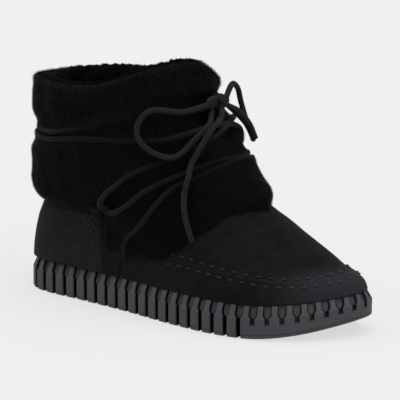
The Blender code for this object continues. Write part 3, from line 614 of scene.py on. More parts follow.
def sideRing(share, read, pitch):
    face, across = ribAcross(share, pitch)
    starts = np.arange(sole["ribs"]) * pitch
    here, side = read((starts[:, None] + across[:, 0]).ravel())
    slotX = read(np.repeat(starts + pitch / 2, len(across)))[0][:, 0]
    insets, inSlot, shade = [np.tile(across[:, column], sole["ribs"]) for column in (1, 2, 3)]
    banded = (slotX > sole["toeBandFrom"]) | (slotX < sole["heelBandTo"])
    opening = smooth((share - sole["bandTop"]) / sole["bandFade"])
    insets = np.where(banded & (inSlot == 1), face + (insets - face) * opening, insets)
    insets = np.where(banded & (inSlot == 0) & (share < sole["bandTop"]), face, insets)
    low = max(1 - share / sole["roundTo"], 0.0)
    rim = max(share - sole["rimFrom"], 0.0) / (1 - sole["rimFrom"])
    tuck = sole["bottomRound"] * (1 - (1 - low) ** 0.5) + sole["rimIn"] * rim ** 2
    places = here - side * (insets + tuck)[:, None]
    bottom, crown = soleBottom(places[:, 0]), soleTop(places[:, 0])
    z = bottom + (crown - bottom) * share
    if share == 0:
        z = z + np.where((inSlot == 1) & ~banded, sole["groove"], 0.0)
    # painted shade, stronger the deeper the slot, and weaker in the short slots at toe and heel
    shade = shade * np.clip((insets - face - sole["shadeFrom"]) / sole["shadeDepth"], 0, 1)
    return np.column_stack([places, z]), shade * np.where(banded, sole["shortSlotPaintedShade"], 1.0)


def closingFaces(count, last):
    # strips across the underside, and across the top from the ring that starts at last
    faces = []
    for index in range(count // 2):
        strip = (index, (count - index) % count, count - index - 1, index + 1)
        faces.append(tuple(dict.fromkeys(strip)))
        faces.append(tuple(dict.fromkeys(last + corner for corner in reversed(strip))))
    return [face for face in faces if len(face) > 2]


# painted shade in the slots: the tint darkens the rubber, and the deepest faces get the near black, matt
# second material
def paintSlotShade(piece, shades):
    addTint(piece, shades)
    mesh = piece.data
    corners = np.zeros(len(mesh.loops), int)
    mesh.loops.foreach_get("vertex_index", corners)
    starts = np.zeros(len(mesh.polygons), int)
    mesh.polygons.foreach_get("loop_start", starts)
    deep = np.minimum.reduceat(shades[corners], starts) > sole["paintedShadeFrom"]
    mesh.materials.append(paintedSlotShade)
    mesh.polygons.foreach_set("material_index", deep.astype(int))


def makeSole():
    read, perimeter = outlineByLength()
    built = [sideRing(share, read, perimeter / sole["ribs"]) for share in sideHeights()]
    rings = [ring for ring, shade in built]
    shades = [shade for ring, shade in built]
    lip = rings[-1].copy()
    lip[:, :2] += unit(np.array([soleShape["length"] / 2, 0.0]) - lip[:, :2]) * sole["lip"]
    lip[:, 2] = soleTop(lip[:, 0])
    rings.append(lip)
    shades.append(shades[-1])
    count = len(lip)
    faces = gridFaces(len(rings), count) + closingFaces(count, count * (len(rings) - 1))
    piece = addMesh("ribbedSole", np.concatenate(rings), faces, soleRubber, ["outsole"])
    paintSlotShade(piece, np.concatenate(shades))
    return piece


ribbedSole = makeSole()
sharpSole = ribbedSole.modifiers.new("crispEdges", "WEIGHTED_NORMAL")
sharpSole.keep_sharp = True
ribbedSole.data.set_sharp_from_angle(angle=radians(sole["crispAngle"]))
print("sole:", len(ribbedSole.data.polygons), "faces")


# Suede foot: the hollow upper with its moccasin seam, side seams and soft creases, and painted light on the
# toe
foot = {
    "columns": 300, "crowding": 5.5, "footRows": 110, "footTop": 5.2, "shaftRows": 26, "innerRows": 40,
    "mocPath": [     # angle, level
        (80, 2.0), (104, 3.1), (118, 2.8), (128, 2.5), (138, 2.15), (150, 2.0), (165, 2.1), (180, 2.2)],
    "mocFrom": 108.0, "mocFade": 14.0, "wallProud": 0.9, "wallFade": 0.5, "ridge": 0.7,
    "ridgeWidth": 0.32, "rows": (-0.46, 0.46), "pucker": 0.35, "puckerWidth": 0.2, "gather": 0.3,
    "gatherWidth": 0.3, "pitch": 8.6,
    "sideSeamX": 100.3, "sideSeamZ": 30.0, "sideSeamLean": 0.317, "sideSeamDepth": 1.7,
    "sideSeamWidth": 1.1, "sideSeamTop": 4.5, "seamColumns": (73.5, 81.5, 0.3), "panelProud": 0.6,
    "panelFade": 1.2,
    # painted light on the toe: where it starts and fades along the foot, and the height over which it fades
    # out
    "paintedLightFrom": 216.0, "paintedLightFade": 40.0, "paintedLightTop": 39.0, "paintedLightTopFade": 9.0,
    "toeFrom": 138.0, "toeFade": 26.0, "toeFoot": 1.6, "toeFootWidth": 0.7, "toeTuck": 2.3,
    "toeTuckLevel": 2.2, "toeTuckWidth": 1.0, "toeFlat": 0.6,
    "creaseFall": (0.55, 0.84),
    "creases": [   # x, height, half length along the foot, half width, depth, lateral (-1) or medial (1)
        (178, 52, 20, 3.0, 0.55, -1), (186, 44, 16, 2.6, 0.4, -1), (128, 38, 18, 4.0, 0.6, -1),
        (180, 50, 22, 3.2, 0.6, 1), (190, 43, 15, 2.6, 0.4, 1), (205, 47, 18, 5.0, 0.35, 1),
        (215, 40, 16, 6.0, -0.35, -1), (150, 36, 14, 3.6, 0.45, 1)],
}
mocReader = openCurve([row[0] for row in foot["mocPath"]], [row[1] for row in foot["mocPath"]])


def mocLevel(angle):
    return mocReader(fromHeel(angle))


def seamRun():
    angles = np.linspace(0.0, 360.0, 1441)
    line = skin(angles, mocLevel(angles))
    run = np.concatenate([[0.0], np.cumsum(np.linalg.norm(np.diff(line, axis=0), axis=1))])
    return angles, run


seamAngles, seamLengths = seamRun()


def mocRelief(angle, level, toe):
    over = level - mocLevel(angle)
    wall = foot["wallProud"] * (1 - smooth((over + 0.1) / foot["wallFade"]))
    ridge = foot["ridge"] * bell(over, foot["ridgeWidth"])
    run = np.interp(angle % 360, seamAngles, seamLengths)
    beat = 0.5 + 0.5 * np.cos(2 * pi * run / foot["pitch"])
    rows = sum(bell(over - row, foot["puckerWidth"]) for row in foot["rows"])
    gather = foot["gather"] * bell(over, foot["gatherWidth"]) * (beat - 0.5)
    window = smooth((fromHeel(angle) - foot["mocFrom"]) / foot["mocFade"])
    return window * ((wall + ridge) * (1 - foot["toeFlat"] * toe) - foot["pucker"] * rows * beat + gather)


def sideSeamRelief(level, x, z):
    over = x - foot["sideSeamX"] - foot["sideSeamLean"] * (z - foot["sideSeamZ"])
    panel = foot["panelProud"] * (1 - smooth(over / foot["panelFade"]))
    return (1 - smooth(level - foot["sideSeamTop"])) * (
        panel - foot["sideSeamDepth"] * bell(over, foot["sideSeamWidth"]))


def creaseRelief(x, z, side):
    along, down = foot["creaseFall"]
    relief = 0.0
    for creaseX, creaseZ, length, width, depth, creaseSide in foot["creases"]:
        fall = (x - creaseX) * along + (z - creaseZ) * down
        across = (x - creaseX) * down - (z - creaseZ) * along
        relief = relief - depth * bell(across, width) * bell(fall, length) * (side == creaseSide)
    return relief


def footRelief(angle, level, place):
    x, z = place[..., 0], place[..., 2]
    side = np.where(place[..., 1] < 0, -1, 1)
    toe = smooth((fromHeel(angle) - foot["toeFrom"]) / foot["toeFade"])
    tip = (foot["toeFoot"] * bell(level, foot["toeFootWidth"])
           - foot["toeTuck"] * bell(level - foot["toeTuckLevel"], foot["toeTuckWidth"]))
    return (mocRelief(angle, level, toe) + toe * tip + sideSeamRelief(level, x, z)
            + creaseRelief(x, z, side))


def makeFoot():
    plain = 360.0 * np.arange(foot["columns"]) / foot["columns"]
    seam = np.arange(*foot["seamColumns"])
    angles = np.unique(np.concatenate([plain - foot["crowding"] * np.sin(2 * np.radians(plain)),
                                       seam, 360.0 - seam]))
    outer = np.concatenate([np.linspace(0, foot["footTop"], foot["footRows"]),
                            np.linspace(foot["footTop"], topLevel, foot["shaftRows"])[1:]])
    rows = []
    for level in outer:
        relief = footRelief(angles, level, skin(angles, level))
        rows.append(offsetSkin(angles, level, relief, level in (0, topLevel)))
    for level in np.linspace(topLevel, 0, foot["innerRows"]):
        inwards = np.full(len(angles), -boot["wall"])
        rows.append(offsetSkin(angles, level, inwards, level in (0, topLevel)))
    points = np.concatenate(rows)
    piece = addMesh("suedeFoot", points, gridFaces(len(rows), len(angles), True, True), suede,
                    ["upper"])
    # painted light: the toe is lightened below a set height, standing in for the light from the right
    toe = smooth((points[:, 0] - foot["paintedLightFrom"]) / foot["paintedLightFade"])
    addTint(piece, toe * (1 - smooth((points[:, 2] - foot["paintedLightTop"]) / foot["paintedLightTopFade"])))
    return piece


suedeFoot = makeFoot()
print("foot:", len(suedeFoot.data.polygons), "faces")

# Heel counter: a suede panel round the heel, thinner along its edges, with painted light towards the back of
# the heel
counter = {
    "thickness": 1.3, "lift": 0.55, "backLift": 0.1, "edgeShare": 0.5, "roll": 2.2,
    "frontX": (83.6, 79.3), "top": 63.8, "foot": 0.06, "columns": 120, "rows": 44, "crowding": 0.8,
    # the last two set where the painted light at the back of the heel fades out
    "rowCrowding": 0.4, "paintedLightFrom": -2.0, "paintedLightFade": 48.0,
}


def counterFront(shares):
    low, high = counter["frontX"]
    return low + (high - low) * shares


def counterGrid():
    front = angleOver(counter["frontX"][1], counter["top"])
    spread = np.linspace(-1, 1, counter["columns"])
    columns = np.sign(spread) * np.abs(spread) ** counter["crowding"] * front
    even = np.linspace(0, 1, counter["rows"])
    shares = counter["rowCrowding"] * smooth(even) + (1 - counter["rowCrowding"]) * even
    topLevels = levelAt(columns, counter["top"])
    levels = counter["foot"] + (topLevels[None, :] - counter["foot"]) * shares[:, None]
    frontAngles = np.sign(columns)[None, :] * angleAt(levels, counterFront(shares)[:, None])
    return np.abs(columns)[None, :] / front * frontAngles, levels, shares


def rimOf(rows, columns):
    rim = list(range(columns)) + [row * columns + columns - 1 for row in range(1, rows)]
    rim += [(rows - 1) * columns + column for column in range(columns - 2, -1, -1)]
    return rim + [row * columns for row in range(rows - 2, 0, -1)]


def makeCounter():
    angles, levels, shares = counterGrid()
    place = skin(angles, levels)
    fromFront = counterFront(shares)[:, None] - place[..., 0]
    fromTop = counter["top"] - place[..., 2]
    edge = np.minimum(smooth(fromFront / counter["roll"]), smooth(fromTop / counter["roll"]))
    thick = counter["thickness"] * (counter["edgeShare"] + (1 - counter["edgeShare"]) * edge)
    face = offsetSkin(angles, levels, counter["lift"] + thick)
    back = offsetSkin(angles, levels, np.full(angles.shape, counter["backLift"]))
    rows, columns = angles.shape
    start = rows * columns
    points = np.concatenate([face.reshape(-1, 3), back.reshape(-1, 3)])
    faces = gridFaces(rows, columns, False) + gridFaces(rows, columns, False, flip=True, start=start)
    rim = rimOf(rows, columns)
    for here, after in zip(rim, rim[1:] + rim[:1]):
        faces.append((here, start + here, start + after, after))
    piece = addMesh("heelCounter", points, faces, counterSuede, ["heel_counter"])
    # painted light: lighter towards the back of the heel, a painted sheen where the panel turns away
    addTint(piece, 1 - smooth((points[:, 0] - counter["paintedLightFrom"]) / counter["paintedLightFade"]))
    return piece


heelCounter = makeCounter()
print("heel counter:", len(heelCounter.data.polygons), "faces")


# Plush shaft: rolls of pile, cinched by the lace
plush = {
    "columns": 320, "rows": 150, "steps": 61, "lowCrowding": 1.15, "inset": 1.3,
    "low": 4.6, "lowTop": 52.0, "body": 9.6, "growth": 30.0, "thinnest": 2.4, "edgeRoll": 11.0,
    "heelExtra": 2.4, "heelRollTop": 112.0, "heelRollFade": 12.0, "heelRollAngle": 70.0,
    "heelRollSpread": 40.0,
    "cinchHeight": 116.0, "cinchRise": 30.0, "cinchWidth": 7.5, "cinchDepths": (2.6, 2.0),
    "frontCinchHeight": 113.0, "frontCinchDrop": 7.0, "frontCinchWidth": 6.5, "frontCinchDepth": 4.4,
    "frontCinchFrom": 115.0, "frontCinchFade": 35.0,
    "pinch": 1.7, "pinchHeight": 116.0, "pinchWidth": 6.5, "pinchAngle": 80.0, "pinchFade": 40.0,
    "puff": 3.6, "puffAngle": 172.0, "puffSpread": 26.0, "puffAbove": 149.0, "puffFade": 8.0,
    "lump": 0.5, "lumpSize": 26.0, "lumpSeed": 5, "lumpFade": 14.0, "bank": 3.4, "wideBank": 4.6,
    "bankLift": 2.6, "bankReach": 18.0, "rimRound": 0.16, "rimLevels": 0.8, "leastBase": 0.4,
    "backLift": 0.12, "backStep": 6,
    "crest": [        # share of the thickness, rise over the collar
        (0.86, 3.4), (0.5, 5.2), (0.12, 3.6)],
    "hem": [          # angle, x, height
        (0, 0, 64.5), (60, 58.7, 64.5), (78.6, 83.3, 64.5), (80.6, 84.4, 42.0), (98, 116, 41.5),
        (110, 140, 43.5), (128, 163, 61.0), (148, 178, 75.0), (165, 186, 77.0), (180, 200, 76.0)],
    "hemCorners": (78.6, 80.6), "freeFrom": 70.0, "freeOver": 12.0,
}


def waves(points, size, seed, count=7):
    draw = np.random.default_rng(seed)
    total = np.zeros(points.shape[:-1])
    for index in range(count):
        direction = draw.normal(size=3)
        direction /= np.linalg.norm(direction)
        length = size * draw.uniform(0.7, 1.5)
        total = total + np.sin(points @ direction * (2 * pi / length) + draw.uniform(0, 2 * pi))
    return total / count ** 0.5


def plushThickness(angle, height, run):
    turn = fromHeel(angle)
    forward = (1 - np.cos(np.radians(turn))) / 2
    grown = smooth((height - plush["lowTop"]) / plush["growth"])
    body = plush["low"] + (plush["body"] - plush["low"]) * grown
    body = body + (plush["heelExtra"] * smooth((plush["heelRollAngle"] - turn) / plush["heelRollSpread"])
                   * smooth((plush["heelRollTop"] - height) / plush["heelRollFade"]))
    line = plush["cinchHeight"] + plush["cinchRise"] * forward
    depth, endsDepth = plush["cinchDepths"]
    cinch = (depth + endsDepth * np.abs(np.cos(np.radians(turn)))) * bell(height - line, plush["cinchWidth"])
    line = plush["frontCinchHeight"] - plush["frontCinchDrop"] * forward
    cinch = cinch + (plush["frontCinchDepth"] * bell(height - line, plush["frontCinchWidth"])
                     * smooth((turn - plush["frontCinchFrom"]) / plush["frontCinchFade"]))
    rounding = 1 - np.minimum(run / plush["edgeRoll"], 1.0)
    return np.maximum(body - cinch, plush["thinnest"]) * np.sqrt(np.maximum(1 - rounding ** 2, 0.05))


def heelPinch(turn, height):
    around = smooth((plush["pinchAngle"] - turn) / plush["pinchFade"])
    return plush["pinch"] * around * bell(height - plush["pinchHeight"], plush["pinchWidth"])


# Lace: two halves wound round the shaft, mirrored, crossing at the front and at the back
lace = {
    "diameter": 4.0, "sides": 14, "step": 1.0, "braid": 0.07, "braidPitch": 5.2, "strands": 4,
    # the last three set the painted shade on the lace where it sinks into the pile
    "solidStep": 10.5, "sink": 2.6, "dim": 1.7, "dimFrom": 0.1, "dimMost": 0.9,
    "axis": (55.0, 105.0), "leadPoints": 5, "closePoints": 8,
    "tuck": [         # angle, height, distance from the suede, under the hem and into the side seam
        (75.4, 33, -2.6), (76.2, 37, -1.0), (77.6, 40.5, 1.4)],
    "intoKnot": (155.4, 4.6, 148.0),
    "route": [        # angle, height, lift, how far the pile swallows it
        (79.9, 45, 0.0, 0.4), (83.6, 52, 0.0, 0.45), (98, 63, 0.0, 0.42), (114, 76.5, 0.0, 0.42),
        (126, 88, 0.4, 0.5), (146, 98, 0.3, 0.7), (163, 102.5, 0.0, 0.7), (180, 105.5, 0.0, 0.6),
        (200, 106, 0.0, 0.7), (222, 100, 0.0, 0.55), (246, 88, 0.4, 0.4), (258, 78.5, 0.6, 0.35),
        (269, 72.5, 2.0, 0.25), (273.5, 76.5, 3.0, 0.2), (270, 82.5, 2.4, 0.25), (262, 90, 0.8, 0.35),
        (250, 99.5, 0.0, 0.45), (235, 106.5, 0.0, 0.6), (215, 114, 0.0, 0.85), (195, 121, 0.0, 0.4),
        (180, 126, 0.0, 0.15), (163, 128, 0.0, 0.15), (146, 125, 0.0, 0.4), (130, 122, 0.0, 0.58),
        (112, 121.5, 0.0, 0.66), (92, 120.5, 0.0, 0.6), (72, 118, 0.0, 0.54), (50, 113.8, 0.0, 0.5),
        (24, 113.2, 0.0, 0.8), (0, 115.5, 0.0, 0.9), (-24, 117.8, 0.0, 0.8), (-53, 119.2, 0.0, 0.45),
        (-84, 126.6, 0.0, 0.68), (-106, 135, 0.0, 1.0), (-140, 140.0, 0.0, 0.9), (-166, 142.5, 0.0, 0.1)],
}


def treeOf(node):
    body = nodes[node]
    spots = [body.matrix_world @ vertex.co for vertex in body.data.vertices]
    return BVHTree.FromPolygons(spots, [tuple(face.vertices) for face in body.data.polygons])


plushTree = treeOf("fur_shaft")


def spotTree(spots):
    tree = KDTree(len(spots))
    for index, spot in enumerate(spots):
        tree.insert(Vector(spot), index)
    tree.balance()
    return tree


def clearOf(tree, route, distance):
    # the route, kept this far out of the solid
    cleared = []
    for point in route:
        here = Vector(toWorld(point))
        for _ in range(4):
            place, normal, _, far = tree.find_nearest(here)
            reach = -far if (here - place).dot(normal) < 0 else far
            if reach * 1000 >= distance - 0.01:
                break
            here = here + normal * (distance / 1000 - reach)
        cleared.append((here.x * 1000 + boot["heelRest"], here.y * 1000, here.z * 1000))
    return np.array(cleared)


def fromAxis(route):
    axis = np.column_stack([np.clip(route[:, 0], *lace["axis"]), np.zeros(len(route)), route[:, 2]])
    return unit(route - axis)


def onSkin(rows, sign, distance):
    angles = sign * rows[:, 0]
    return offsetSkin(angles, levelAt(angles, rows[:, 1]), distance)


def laceHalf(sign):
    rows, tuckRows = np.array(lace["route"], float), np.array(lace["tuck"], float)
    angles = sign * rows[:, 0]
    heights = skin(angles, levelAt(angles, rows[:, 1]))[:, 2]
    thick = plushThickness(angles, heights, plush["edgeRoll"])
    points = onSkin(rows, sign, 2 * boot["gap"] + thick + lace["diameter"] / 2 + rows[:, 2])
    route = smoothRoute(points, lace["solidStep"])
    route = clearOf(plushTree, route, lace["diameter"] / 2 + 3 * boot["gap"])
    route = smoothRoute(route, lace["step"])
    knots = [int(np.argmin(np.linalg.norm(route - point, axis=1))) for point in points]
    turn, sunk = [np.interp(np.arange(len(route)), knots, rows[:, column]) for column in (0, 3)]
    sink = lace["sink"] * sunk + heelPinch(np.abs(turn), route[:, 2])
    route = route - fromAxis(route) * sink[:, None]

    first, last = lace["leadPoints"], -lace["closePoints"]
    tuck = onSkin(tuckRows, sign, tuckRows[:, 2])
    lead = smoothRoute(np.concatenate([tuck, route[2:10:3]]), lace["step"])
    lead = lead[:int(np.argmin(np.linalg.norm(lead - route[first], axis=1)))]
    knotX, knotY, knotZ = lace["intoKnot"]
    close = [route[last], route[last // 2], route[-1], (knotX, sign * knotY, knotZ)]
    close = smoothRoute(close, lace["step"])
    sunk = np.concatenate([np.full(len(lead), sunk[first]), sunk[first:last], np.full(len(close), sunk[-1])])
    return np.concatenate([lead, route[first:last], close]), sunk


outerHalf, outerSunk = laceHalf(1.0)
innerHalf, innerSunk = laceHalf(-1.0)
wrapSpots = np.concatenate([outerHalf, innerHalf])
wrapSunk = np.concatenate([outerSunk, innerSunk])
wrapTree = spotTree(wrapSpots)
print("lace wraps:", round(len(outerHalf) * lace["step"]), "mm each")


def hemAt(angles):
    marks, places, heights = np.array(plush["hem"], float).T
    turn = fromHeel(angles)
    edges = np.interp(turn, marks, [angleOver(x, height) for x, height in zip(places, heights)])
    edges = np.where(angles <= 180, edges, 360 - edges)
    return edges, np.interp(turn, marks, heights)


def plushGrid():
    angles = 360.0 * np.arange(plush["columns"]) / plush["columns"]
    for corner in plush["hemCorners"]:
        angles[np.argmin(np.abs(angles - corner))] = corner
        angles[np.argmin(np.abs(angles - 360 + corner))] = 360 - corner
    edges, heights = hemAt(angles)
    free = np.maximum(plush["freeFrom"], heights + plush["freeOver"])
    starts = levelAt(edges, heights)
    shares = np.linspace(0, 1, plush["steps"])
    levels = starts[None, :] + (topLevel - starts)[None, :] * shares[:, None]
    rise = skin(np.broadcast_to(edges, levels.shape), levels)[..., 2]
    leans = edges + (angles - edges) * np.clip((rise - heights) / (free - heights), 0, 1)
    steps = np.linalg.norm(np.diff(skin(leans, levels), axis=0), axis=2)
    runs = np.concatenate([np.zeros((1, len(angles))), np.cumsum(steps, axis=0)])
    wanted = (np.linspace(0, 1, plush["rows"]) ** plush["lowCrowding"])[:, None] * runs[-1]
    columns = range(len(angles))
    angle, level = [np.stack([np.interp(wanted[:, column], runs[:, column], field[:, column])
                              for column in columns], axis=1) for field in (leans, levels)]
    return angle, level, wanted


def banked(surface, normal):
    # how far the pile stands up beside and over the sunk stretches of the lace
    flat, out = surface.reshape(-1, 3), normal.reshape(-1, 3)
    rise = np.zeros(len(flat))
    for index, point in enumerate(flat):
        _, found, far = wrapTree.find(Vector(point))
        if far > plush["bankReach"]:
            continue
        weight = wrapSunk[found]
        height = float(np.dot(wrapSpots[found] - point, out[index]))
        aside = max(far * far - height * height, 0.0)
        width = plush["bank"] + plush["wideBank"] * weight ** 2
        rise[index] = weight * max(height + plush["bankLift"], 0.0) * np.exp(-aside / width ** 2)
    return rise.reshape(surface.shape[:-1])


def makePlush():
    angle, level, run = plushGrid()
    place = skin(angle, level)
    turn, height = fromHeel(angle), place[..., 2]
    normal = outward(angle, level)
    normal[-1] = unit(normal[-1] * (1, 1, 0))
    thick = plushThickness(angle, height, run) - heelPinch(turn, height)
    lumps = waves(place, plush["lumpSize"], plush["lumpSeed"]) * smooth(run / plush["lumpFade"])
    thick = thick + plush["lump"] * lumps
    thick = thick + (plush["puff"] * bell(turn - plush["puffAngle"], plush["puffSpread"])
                     * smooth((height - plush["puffAbove"]) / plush["puffFade"]))
    nearRim = smooth((level - topLevel + plush["rimLevels"]) / plush["rimLevels"])
    thick = thick * (1 - plush["rimRound"] * nearRim ** 2)
    base = np.maximum(thick - plush["inset"], plush["leastBase"]) + boot["gap"]
    base = base + banked(place + normal * base[..., None], normal)
    rows = [place + normal * base[..., None]]
    for share, rise in plush["crest"]:
        out = boot["gap"] + (thick[-1] - plush["inset"] * 0.5) * share
        rows.append((place[-1] + normal[-1] * out[:, None] + (0, 0, rise - plush["inset"] * 0.6))[None])
    surface = np.concatenate(rows)
    back = offsetSkin(angle, level, np.full(angle.shape, plush["backLift"]))[::-plush["backStep"]]
    points = np.concatenate([surface.reshape(-1, 3), back.reshape(-1, 3)])
    faces = gridFaces(len(surface) + len(back), plush["columns"], True, True)
    return addMesh("plushShaft", points, faces, plushBase, ["fur_shaft"]), surface


plushShaft, plushSurface = makePlush()
print("plush body:", len(plushShaft.data.polygons), "faces")


def braidedCord(name, path, diameter, sides, replaced=(), closed=False, yarn=laceYarn):
    path = np.asarray(path, float)
    ahead = np.roll(path, -1, axis=0) - np.roll(path, 1, axis=0)
    along = unit(ahead if closed else np.gradient(path, axis=0))
    run = np.concatenate([[0.0], np.cumsum(np.linalg.norm(np.diff(path, axis=0), axis=1))])
    side = np.cross(along[0], (0.3, 0.2, 1.0))
    rings = []
    turns = 2 * pi * np.arange(sides) / sides
    for index, direction in enumerate(along):
        side = side - direction * np.dot(side, direction)
        side = side / np.linalg.norm(side)
        other = np.cross(direction, side)
        phase = 2 * pi * run[index] / lace["braidPitch"]
        over = np.cos(lace["strands"] * turns + phase) * np.cos(lace["strands"] * turns - phase)
        radius = diameter / 2 * (1 - lace["braid"] * 0.5 + lace["braid"] * over)
        rings.append(path[index] + (radius * np.cos(turns))[:, None] * side
                     + (radius * np.sin(turns))[:, None] * other)
    faces = gridFaces(len(rings), sides, True, closed)
    points = np.concatenate(rings)
    if not closed:
        tips = np.array([path[0] - along[0] * diameter * 0.12, path[-1] + along[-1] * diameter * 0.12])
        first, last = len(points), len(points) - sides
        points = np.concatenate([points, tips])
        for corner in range(sides):
            after = (corner + 1) % sides
            faces.append((first, after, corner))
            faces.append((first + 1, last + corner, last + after))
    return addMesh(name, points, faces, yarn, replaced)


def windLace(name, path, sunk):
    wrap = braidedCord(name, path, lace["diameter"], lace["sides"], ["lace_wraps"])
    # painted shade: the lace is darkened towards its shaded colour where it sinks into the pile, standing in
    # for the shade there and partly for the pile's hairs over it
    dim = np.clip(sunk * lace["dim"] - lace["dimFrom"], 0, lace["dimMost"])
    addTint(wrap, np.concatenate([np.repeat(dim, lace["sides"]), dim[[0, -1]]]))


windLace("laceWrapOuter", outerHalf, outerSunk)
windLace("laceWrapInner", innerHalf, innerSunk)
print("laces wound")


# Bow: knot, two loops and two ends, each stretch from the knot outwards
bow = {
    "step": 1.0, "knotCentre": (156.2, 0.0, 148.5), "turnRadius": 3.4, "turnCord": 3.8, "turnPitch": 3.2,
    "turns": 2.2, "turnStart": 0.6, "coreHalf": 6.6, "coreArch": 0.6, "stubFrom": 0.25, "stubInto": 0.4,
    "fold": [(156.4, -4.0, 150.6), (157.2, -10.5, 151.8), (157.4, -15.0, 150.4), (156.6, -14.2, 147.2),
             (155.8, -9.0, 146.4), (155.6, -3.0, 147.0)],
    "loopLateral": [
        (156.2, -8.2, 149.0), (156.8, -15.5, 148.4), (153.0, -24.0, 146.4), (146.5, -31.5, 144.5),
        (139.5, -37.0, 145.5), (132.0, -41.5, 146.0), (126.5, -45.5, 143.5), (122.5, -48.0, 137.0),
        (121.5, -49.0, 130.5), (125.0, -50.0, 125.0), (130.5, -48.0, 119.5), (137.0, -45.0, 116.0),
        (146.0, -43.0, 115.0), (152.0, -39.5, 118.0), (155.5, -34.5, 123.5), (158.8, -29.5, 129.0),
        (162.0, -24.4, 134.0), (161.2, -18.0, 138.0), (157.5, -12.5, 141.0), (155.6, -9.0, 143.4)],
    "loopMedial": [
        (155.5, 8.2, 149.5), (154.0, 13.0, 153.0), (152.5, 20.0, 157.0), (151.5, 27.5, 152.5),
        (151.0, 32.0, 142.5), (153.0, 34.5, 131.5), (158.0, 34.0, 122.0), (163.0, 30.0, 117.5),
        (166.5, 23.0, 122.5), (166.0, 16.5, 131.5), (162.5, 10.5, 139.0), (158.8, 6.2, 144.4)],
    "endLateral": [
        (159.3, -3.3, 143.4), (163.8, -9.0, 141.0), (167.0, -17.0, 138.2), (167.6, -25.5, 134.6),
        (166.2, -31.5, 128.0), (162.8, -34.5, 120.0), (159.5, -38.0, 111.5), (160.5, -43.5, 102.0),
        (159.0, -45.5, 91.5), (159.5, -46.5, 82.0), (162.0, -47.5, 73.0), (166.0, -46.0, 60.0)],
    "endMedial": [
        (161.3, 2.0, 145.6), (166.5, 7.5, 141.5), (170.5, 14.0, 132.5), (171.5, 20.5, 121.0)],
}


def bowCord(name, key, node):
    path = smoothRoute(bow[key], bow["step"])
    piece = braidedCord(name, path, lace["diameter"], lace["sides"], [node])
    return path


bowPaths = [
    bowCord("bowLoopLateral", "loopLateral", "lace_loop_lateral"),
    bowCord("bowLoopMedial", "loopMedial", "lace_loop_medial"),
    bowCord("bowEndLateral", "endLateral", "lace_end_lateral"),
    bowCord("bowEndMedial", "endMedial", "lace_end_medial")]


def makeKnot():
    centre = np.array(bow["knotCentre"])
    sweep = np.linspace(-0.5, 0.5, 60)
    turn = sweep * bow["turns"] * 2 * pi + bow["turnStart"]
    wrap = centre + np.stack([bow["turnRadius"] * np.cos(turn), sweep * bow["turnPitch"] * bow["turns"],
                              bow["turnRadius"] * np.sin(turn)], axis=1)
    braidedCord("bowKnotWrap", wrap, bow["turnCord"], lace["sides"], ["lace_knot"])
    for path in bowPaths:
        start = centre + (path[0] - centre) * bow["stubFrom"]
        stub = np.linspace(start, path[0] + (path[2] - path[0]) * bow["stubInto"], 8)
        braidedCord("bowKnotStub", stub, lace["diameter"] * 0.99, lace["sides"])
    braidedCord("bowKnotFold", smoothRoute(bow["fold"], bow["step"]), lace["diameter"], lace["sides"])
    across = np.linspace(-1, 1, 14)
    core = centre + np.stack([np.zeros(len(across)), across * bow["coreHalf"],
                              -bow["coreArch"] * np.sin(across * pi / 2)], axis=1)
    braidedCord("bowKnotCore", core, lace["diameter"], lace["sides"], ["lace_knot"])


makeKnot()

# Keepers: a loop of thin cord round the lace at each top front corner of the counter
keeper = {"turn": (273.5, 76.5), "cord": 1.8, "sides": 10, "play": 1.2, "reach": 4.0,
          "pull": (-1.0, 0.0, -0.25)}


def makeKeeper(name, path, side, node):
    angle = side * keeper["turn"][0]
    level = float(levelAt(angle, keeper["turn"][1]))
    centre = path[int(np.argmin(np.linalg.norm(path - skin(angle, level), axis=1)))]
    normal = outward(angle, level)
    back = np.array(keeper["pull"])
    back = unit(back - normal * np.dot(back, normal))
    radius = lace["diameter"] / 2 + keeper["cord"] / 2 + keeper["play"]
    swing = np.linspace(-pi / 2, pi / 2, 16)[:, None]
    bulge, climb = back * radius * np.cos(swing), normal * radius * np.sin(swing)
    track = np.concatenate([centre - bulge + climb, centre + back * keeper["reach"] + bulge - climb])
    braidedCord(name, track, keeper["cord"], keeper["sides"], [node], True, keeperYarn)


makeKeeper("keeperLateral", innerHalf, -1, "lace_keeper_lateral")
makeKeeper("keeperMedial", outerHalf, 1, "lace_keeper_medial")
print("bow and keepers tied")


# Pile: tapered strands combed down over the shaft, lying against the lace or over it
pile = {
    "strands": 49000, "bands": (0, 56, 100), "seeds": (20, 27, 34), "length": (2.0, 3.2), "width": 0.24,
    "lean": 1.12, "crestLean": (1.1, 0.7), "clump": 0.10, "clumpSize": 7.0, "scatter": 0.14, "bend": 0.25,
    "mostBend": 1.45, "tipSway": 1.3, "taper": 0.75, "clear": 0.35, "sinksUnder": 1.6, "pushOut": 0.4,
    # the first is the pile's own tone (mean, by clouds, at random); then the painted shade at the strands'
    # roots and middles, and the painted highlight below the crest
    "shade": (0.165, 0.04, 0.02), "rootPaintedShade": 0.5, "middlePaintedShade": 0.85, "paintedRimLight": 0.7,
    # after the rows the highlight covers: the painted shade over the instep, its strength, and where it fades
    # in along the foot and below a height
    "rimRows": (5.5, 3.0), "instepPaintedShade": 0.6, "instepX": (120.0, 25.0), "instepHeight": (112.0, 20.0),
}


def laceGuard():
    spots = np.concatenate([wrapSpots] + bowPaths)
    reach = lace["diameter"] / 2 + pile["clear"]
    radii = np.concatenate([reach * (1 - np.clip(wrapSunk * pile["sinksUnder"], 0, 1))]
                           + [np.full(len(path), reach) for path in bowPaths])
    return spotTree(spots), spots, radii


guardTree, guardSpots, guardRadii = laceGuard()


